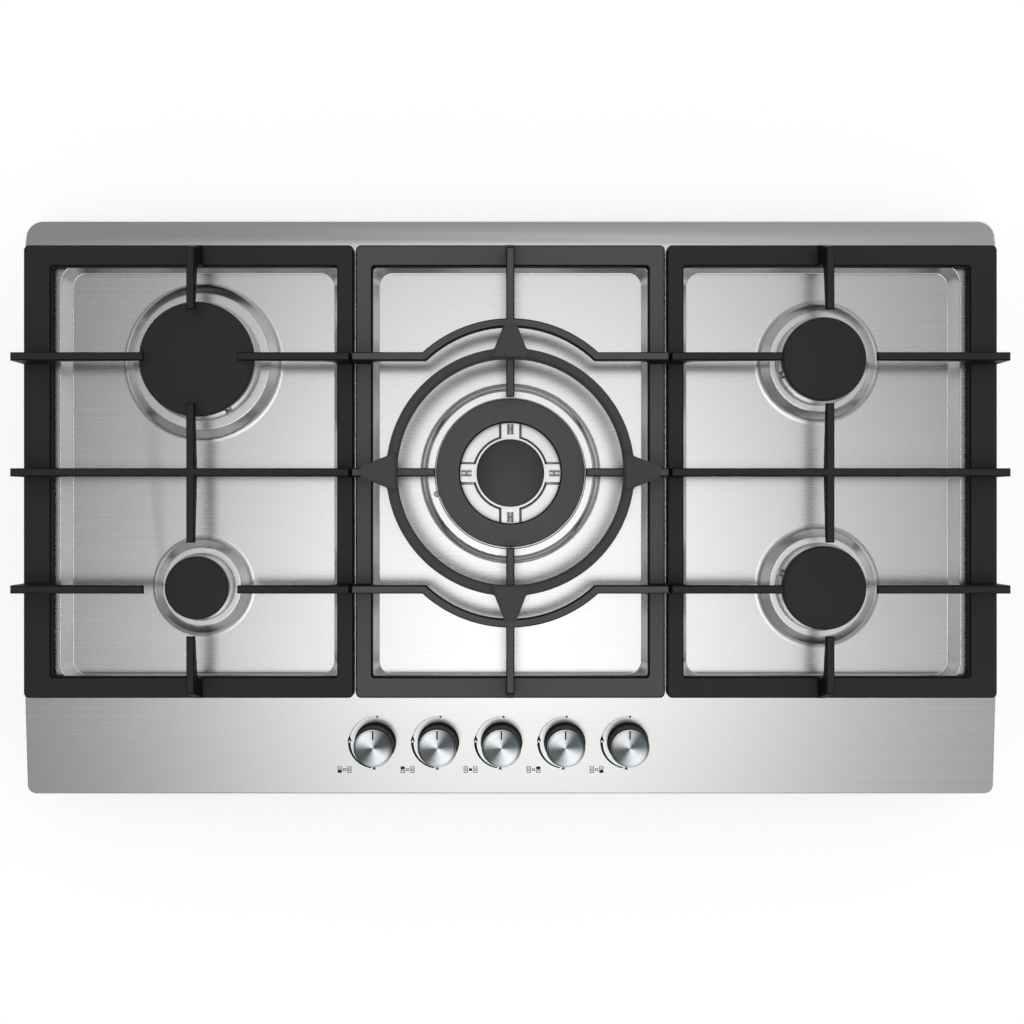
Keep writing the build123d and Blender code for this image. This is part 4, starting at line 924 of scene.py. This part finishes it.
# prints on the apron, in millimetres in the knob's own frame; angles in degrees
dialSetup = {"radius": 23.2, "thin": (84.0, 166.0, 0.16, 0.50), "thick": (181.0, 259.0, 2.3, 1.0),
             "dot": (85.5, 0.95, 16), "highFlame": (171.0, 3.4, 6.2), "lowFlame": (267.0, 2.8, 3.2),
             "sign": (-27.6, -24.6), "reach": (4.3, 1.55), "box": (3.7, 2.6), "middleBox": (3.0, 2.2),
             "line": 0.58, "ink": (0.015, 0.055), "steps": 40, "lap": 1.06, "smoothAngle": 40}


def flatSlab(outline):
    # a closed slab of ink over an outline
    points = [(x * mm, y * mm, z * mm) for z in dialSetup["ink"] for x, y in outline]
    return points, prismFaces(len(outline))


def onDial(degrees):
    turn = math.radians(degrees)
    return dialSetup["radius"] * math.cos(turn), dialSetup["radius"] * math.sin(turn)


def flameOutline(angle, width, height):
    # a pointed flame with a notch from below, as shares of half its width and of its height
    x, y = onDial(angle)
    shares = ((0.0, 1.0), (0.34, 0.74), (0.70, 0.50), (0.96, 0.24), (1.0, 0.06), (0.84, 0.0),
              (0.42, 0.0), (0.28, 0.14), (0.10, 0.24))
    right = [(across * width / 2, (up - 0.5) * height) for across, up in shares]
    left = [(-across, up) for across, up in reversed(right[1:])]
    return [(x + across, y + up) for across, up in right + [(0, -0.24 * height)] + left]


def rectangle(x0, y0, x1, y1):
    return flatSlab([(x0, y0), (x1, y0), (x1, y1), (x0, y1)])


def boxFrame(x, y, width, height, filled):
    # a burner's place: filled for the knob's own burner, else an outline
    left, right, low, high = x - width / 2, x + width / 2, y - height / 2, y + height / 2
    if filled:
        return [rectangle(left, low, right, high)]
    line = dialSetup["line"]
    return [rectangle(left, low, right, low + line), rectangle(left, high - line, right, high),
            rectangle(left, low + line, left + line, high - line),
            rectangle(right - line, low + line, right, high - line)]


def makeArcTree():
    # a line of ink along an arc, widening or thinning on its way
    tree, source, sink = newPattern("dialArc", {"Radius": 0.023, "Start": 1.5, "Sweep": 1.4,
                                                "From": 0.0005, "To": 0.001, "Height": 0.00003,
                                                "Lift": 0.00003})
    steps = dialSetup["steps"]
    arc = addNode(tree, "GeometryNodeCurveArc")
    arc.inputs["Resolution"].default_value = steps
    for label, target in (("Radius", "Radius"), ("Start", "Start Angle"), ("Sweep", "Sweep Angle")):
        link(tree, source.outputs[label], arc.inputs[target])
    stored = addNode(tree, "GeometryNodeCaptureAttribute")
    stored.capture_items.new("FLOAT", "along")
    link(tree, arc.outputs["Curve"], stored.inputs["Geometry"])
    link(tree, addNode(tree, "GeometryNodeSplineParameter").outputs["Factor"], stored.inputs[1])
    spots = addNode(tree, "GeometryNodeCurveToPoints", mode="EVALUATED")
    link(tree, stored.outputs["Geometry"], spots.inputs["Curve"])
    brick = addNode(tree, "GeometryNodeMeshCube")
    brick.inputs["Size"].default_value = (1, 1, 1)
    size = addNode(tree, "ShaderNodeCombineXYZ")
    width = mapRange(tree, stored.outputs[1], 0.0, 1.0, source.outputs["From"], source.outputs["To"])
    length = times(tree, source.outputs["Radius"], source.outputs["Sweep"])
    link(tree, width, size.inputs["X"])
    link(tree, source.outputs["Height"], size.inputs["Y"])
    link(tree, times(tree, length, dialSetup["lap"] / (steps - 1)), size.inputs["Z"])
    put = addNode(tree, "GeometryNodeInstanceOnPoints")
    for start, label in ((spots.outputs["Points"], "Points"), (brick.outputs["Mesh"], "Instance"),
                         (spots.outputs["Rotation"], "Rotation"), (size.outputs[0], "Scale")):
        link(tree, start, put.inputs[label])
    closePattern(tree, raised(tree, put.outputs[0], source.outputs["Lift"]), source, sink)
    return tree


arcTree = makeArcTree()


def makeDial(index, where):
    setup = dialSetup
    slabs = [flatSlab(flameOutline(*setup["highFlame"])), flatSlab(flameOutline(*setup["lowFlame"]))]
    angle, size, steps = setup["dot"]
    slabs.append(flatSlab(circlePoints(size, steps, onDial(angle))))
    signX, signY = setup["sign"]
    reachX, reachY = setup["reach"]
    corners = {"front_left": (-reachX, -reachY), "rear_left": (-reachX, reachY),
               "rear_right": (reachX, reachY), "front_right": (reachX, -reachY)}
    for name, (x, y) in corners.items():
        slabs += boxFrame(signX + x, signY + y, *setup["box"], name == where)
    slabs += boxFrame(signX, signY, *setup["middleBox"], where == "centre")
    mesh = bpy.data.meshes.new("dial_" + where)
    points, faces = gathered(slabs)
    mesh.from_pydata(points, [], faces)
    dial = newPiece("dial_" + where, mesh, "dial_ink", setup["smoothAngle"])
    low, high = setup["ink"]
    for start, end, first, last in (setup["thin"], setup["thick"]):
        runPattern(dial, arcTree, "dial_ink", {
            "Radius": setup["radius"] * mm, "Start": math.radians(start),
            "Sweep": math.radians(end - start), "From": first * mm, "To": last * mm,
            "Height": (high - low) * mm, "Lift": (low + high) / 2 * mm})
    dial.data.transform(knobPlace(index))
    settle(dial, "root", "black_plastic")


for index, where in enumerate(knobSetup["names"]):
    makeDial(index, where)
print("dials printed")

# floor, lamps and sky
stageSetup = {"floor": (0.86, 0.86, 0.86), "shade": 0.99, "lift": 0.545, "size": 14.0, "level": -0.0005}
lightSetup = {"left": 0.13, "right": 0.27, "turn": 0.35, "back": 0.14, "backFrom": (0.20, 0.42),
              "zenith": 2.08, "band": (0.08, 0.31), "bandBack": -0.13, "bandLength": 0.43,
              "bandRise": 0.3, "horizon": 0.22, "skirt": (0.42, 0.72),
              "suns": [((-0.93, 0.10, 0.36), 0.16, 40), ((0.93, 0.10, 0.36), 0.13, 40)]}


def floorFinish():
    # pale floor that keeps the shadow; what the camera and mirrors see is lifted a little
    material, tree, shader = startFinish("paleFloor", 0.0, Roughness=0.9, Specular_IOR_Level=0.1)
    marks = useEffect(tree, "handling", Size=1.5, Amount=0.02)
    lowTone = tuple(value * stageSetup["shade"] for value in stageSetup["floor"])
    link(tree, mixColour(tree, marks.outputs["Value"], lowTone, stageSetup["floor"]),
         shader.inputs["Base Color"])
    rays = addNode(tree, "ShaderNodeLightPath")
    mirrored = plus(tree, rays.outputs["Is Glossy Ray"], rays.outputs["Is Transmission Ray"])
    seen = mathNode(tree, "MINIMUM", plus(tree, rays.outputs["Is Camera Ray"], mirrored), 1.0)
    shader.inputs["Emission Color"].default_value = (1, 1, 1, 1)
    link(tree, times(tree, seen, stageSetup["lift"]), shader.inputs["Emission Strength"])
    return material


def makeFloor():
    half, level = stageSetup["size"] / 2, stageSetup["level"]
    mesh = bpy.data.meshes.new("floor")
    corners = [(-half, -half, level), (half, -half, level), (half, half, level), (-half, half, level)]
    mesh.from_pydata(corners, [], [(0, 1, 2, 3)])
    mesh.materials.append(floorFinish())
    floor = bpy.data.objects.new("floor", mesh)
    bpy.context.scene.collection.objects.link(floor)


def makeLamps():
    # weak broad suns from the left and the right
    for number, (place, strength, spread) in enumerate(lightSetup["suns"]):
        lamp = bpy.data.lights.new("lamp%d" % number, "SUN")
        lamp.energy = strength
        lamp.angle = math.radians(spread)
        holder = bpy.data.objects.new("lamp%d" % number, lamp)
        holder.rotation_euler = Vector(place).to_track_quat("Z", "Y").to_euler()
        bpy.context.scene.collection.objects.link(holder)


def makeSky():
    # a long softbox straight above, grey around it, a little paler at the back and towards the horizon
    setup = lightSetup
    world = bpy.data.worlds.new("studio")
    bpy.context.scene.world = world
    world.use_nodes = True
    tree = world.node_tree
    parts = addNode(tree, "ShaderNodeSeparateXYZ")
    link(tree, addNode(tree, "ShaderNodeTexCoord").outputs["Generated"], parts.inputs[0])
    x, y, z = (parts.outputs[axis] for axis in "XYZ")
    across = mapRange(tree, mathNode(tree, "ABSOLUTE", x), *setup["band"], 1.0, 0.0, True)
    along = mathNode(tree, "DIVIDE", minus(tree, y, setup["bandBack"]), setup["bandLength"])
    ends = mathNode(tree, "EXPONENT", times(tree, times(tree, along, along), -1.0))
    above = mapRange(tree, z, 0.0, setup["bandRise"], 0.0, 1.0, True)
    box = times(tree, times(tree, across, ends), above)
    low = mapRange(tree, z, *setup["skirt"], setup["horizon"], 0.0, True)
    sides = mapRange(tree, x, -setup["turn"], setup["turn"], setup["left"], setup["right"], True)
    back = mapRange(tree, y, *setup["backFrom"], 0.0, setup["back"], True)
    around = plus(tree, plus(tree, low, sides), back)
    background = tree.nodes["Background"]
    background.inputs["Color"].default_value = (1, 1, 1, 1)
    link(tree, plus(tree, times(tree, box, setup["zenith"]), around), background.inputs["Strength"])


makeFloor()
makeLamps()
makeSky()
print("stage and lights made")
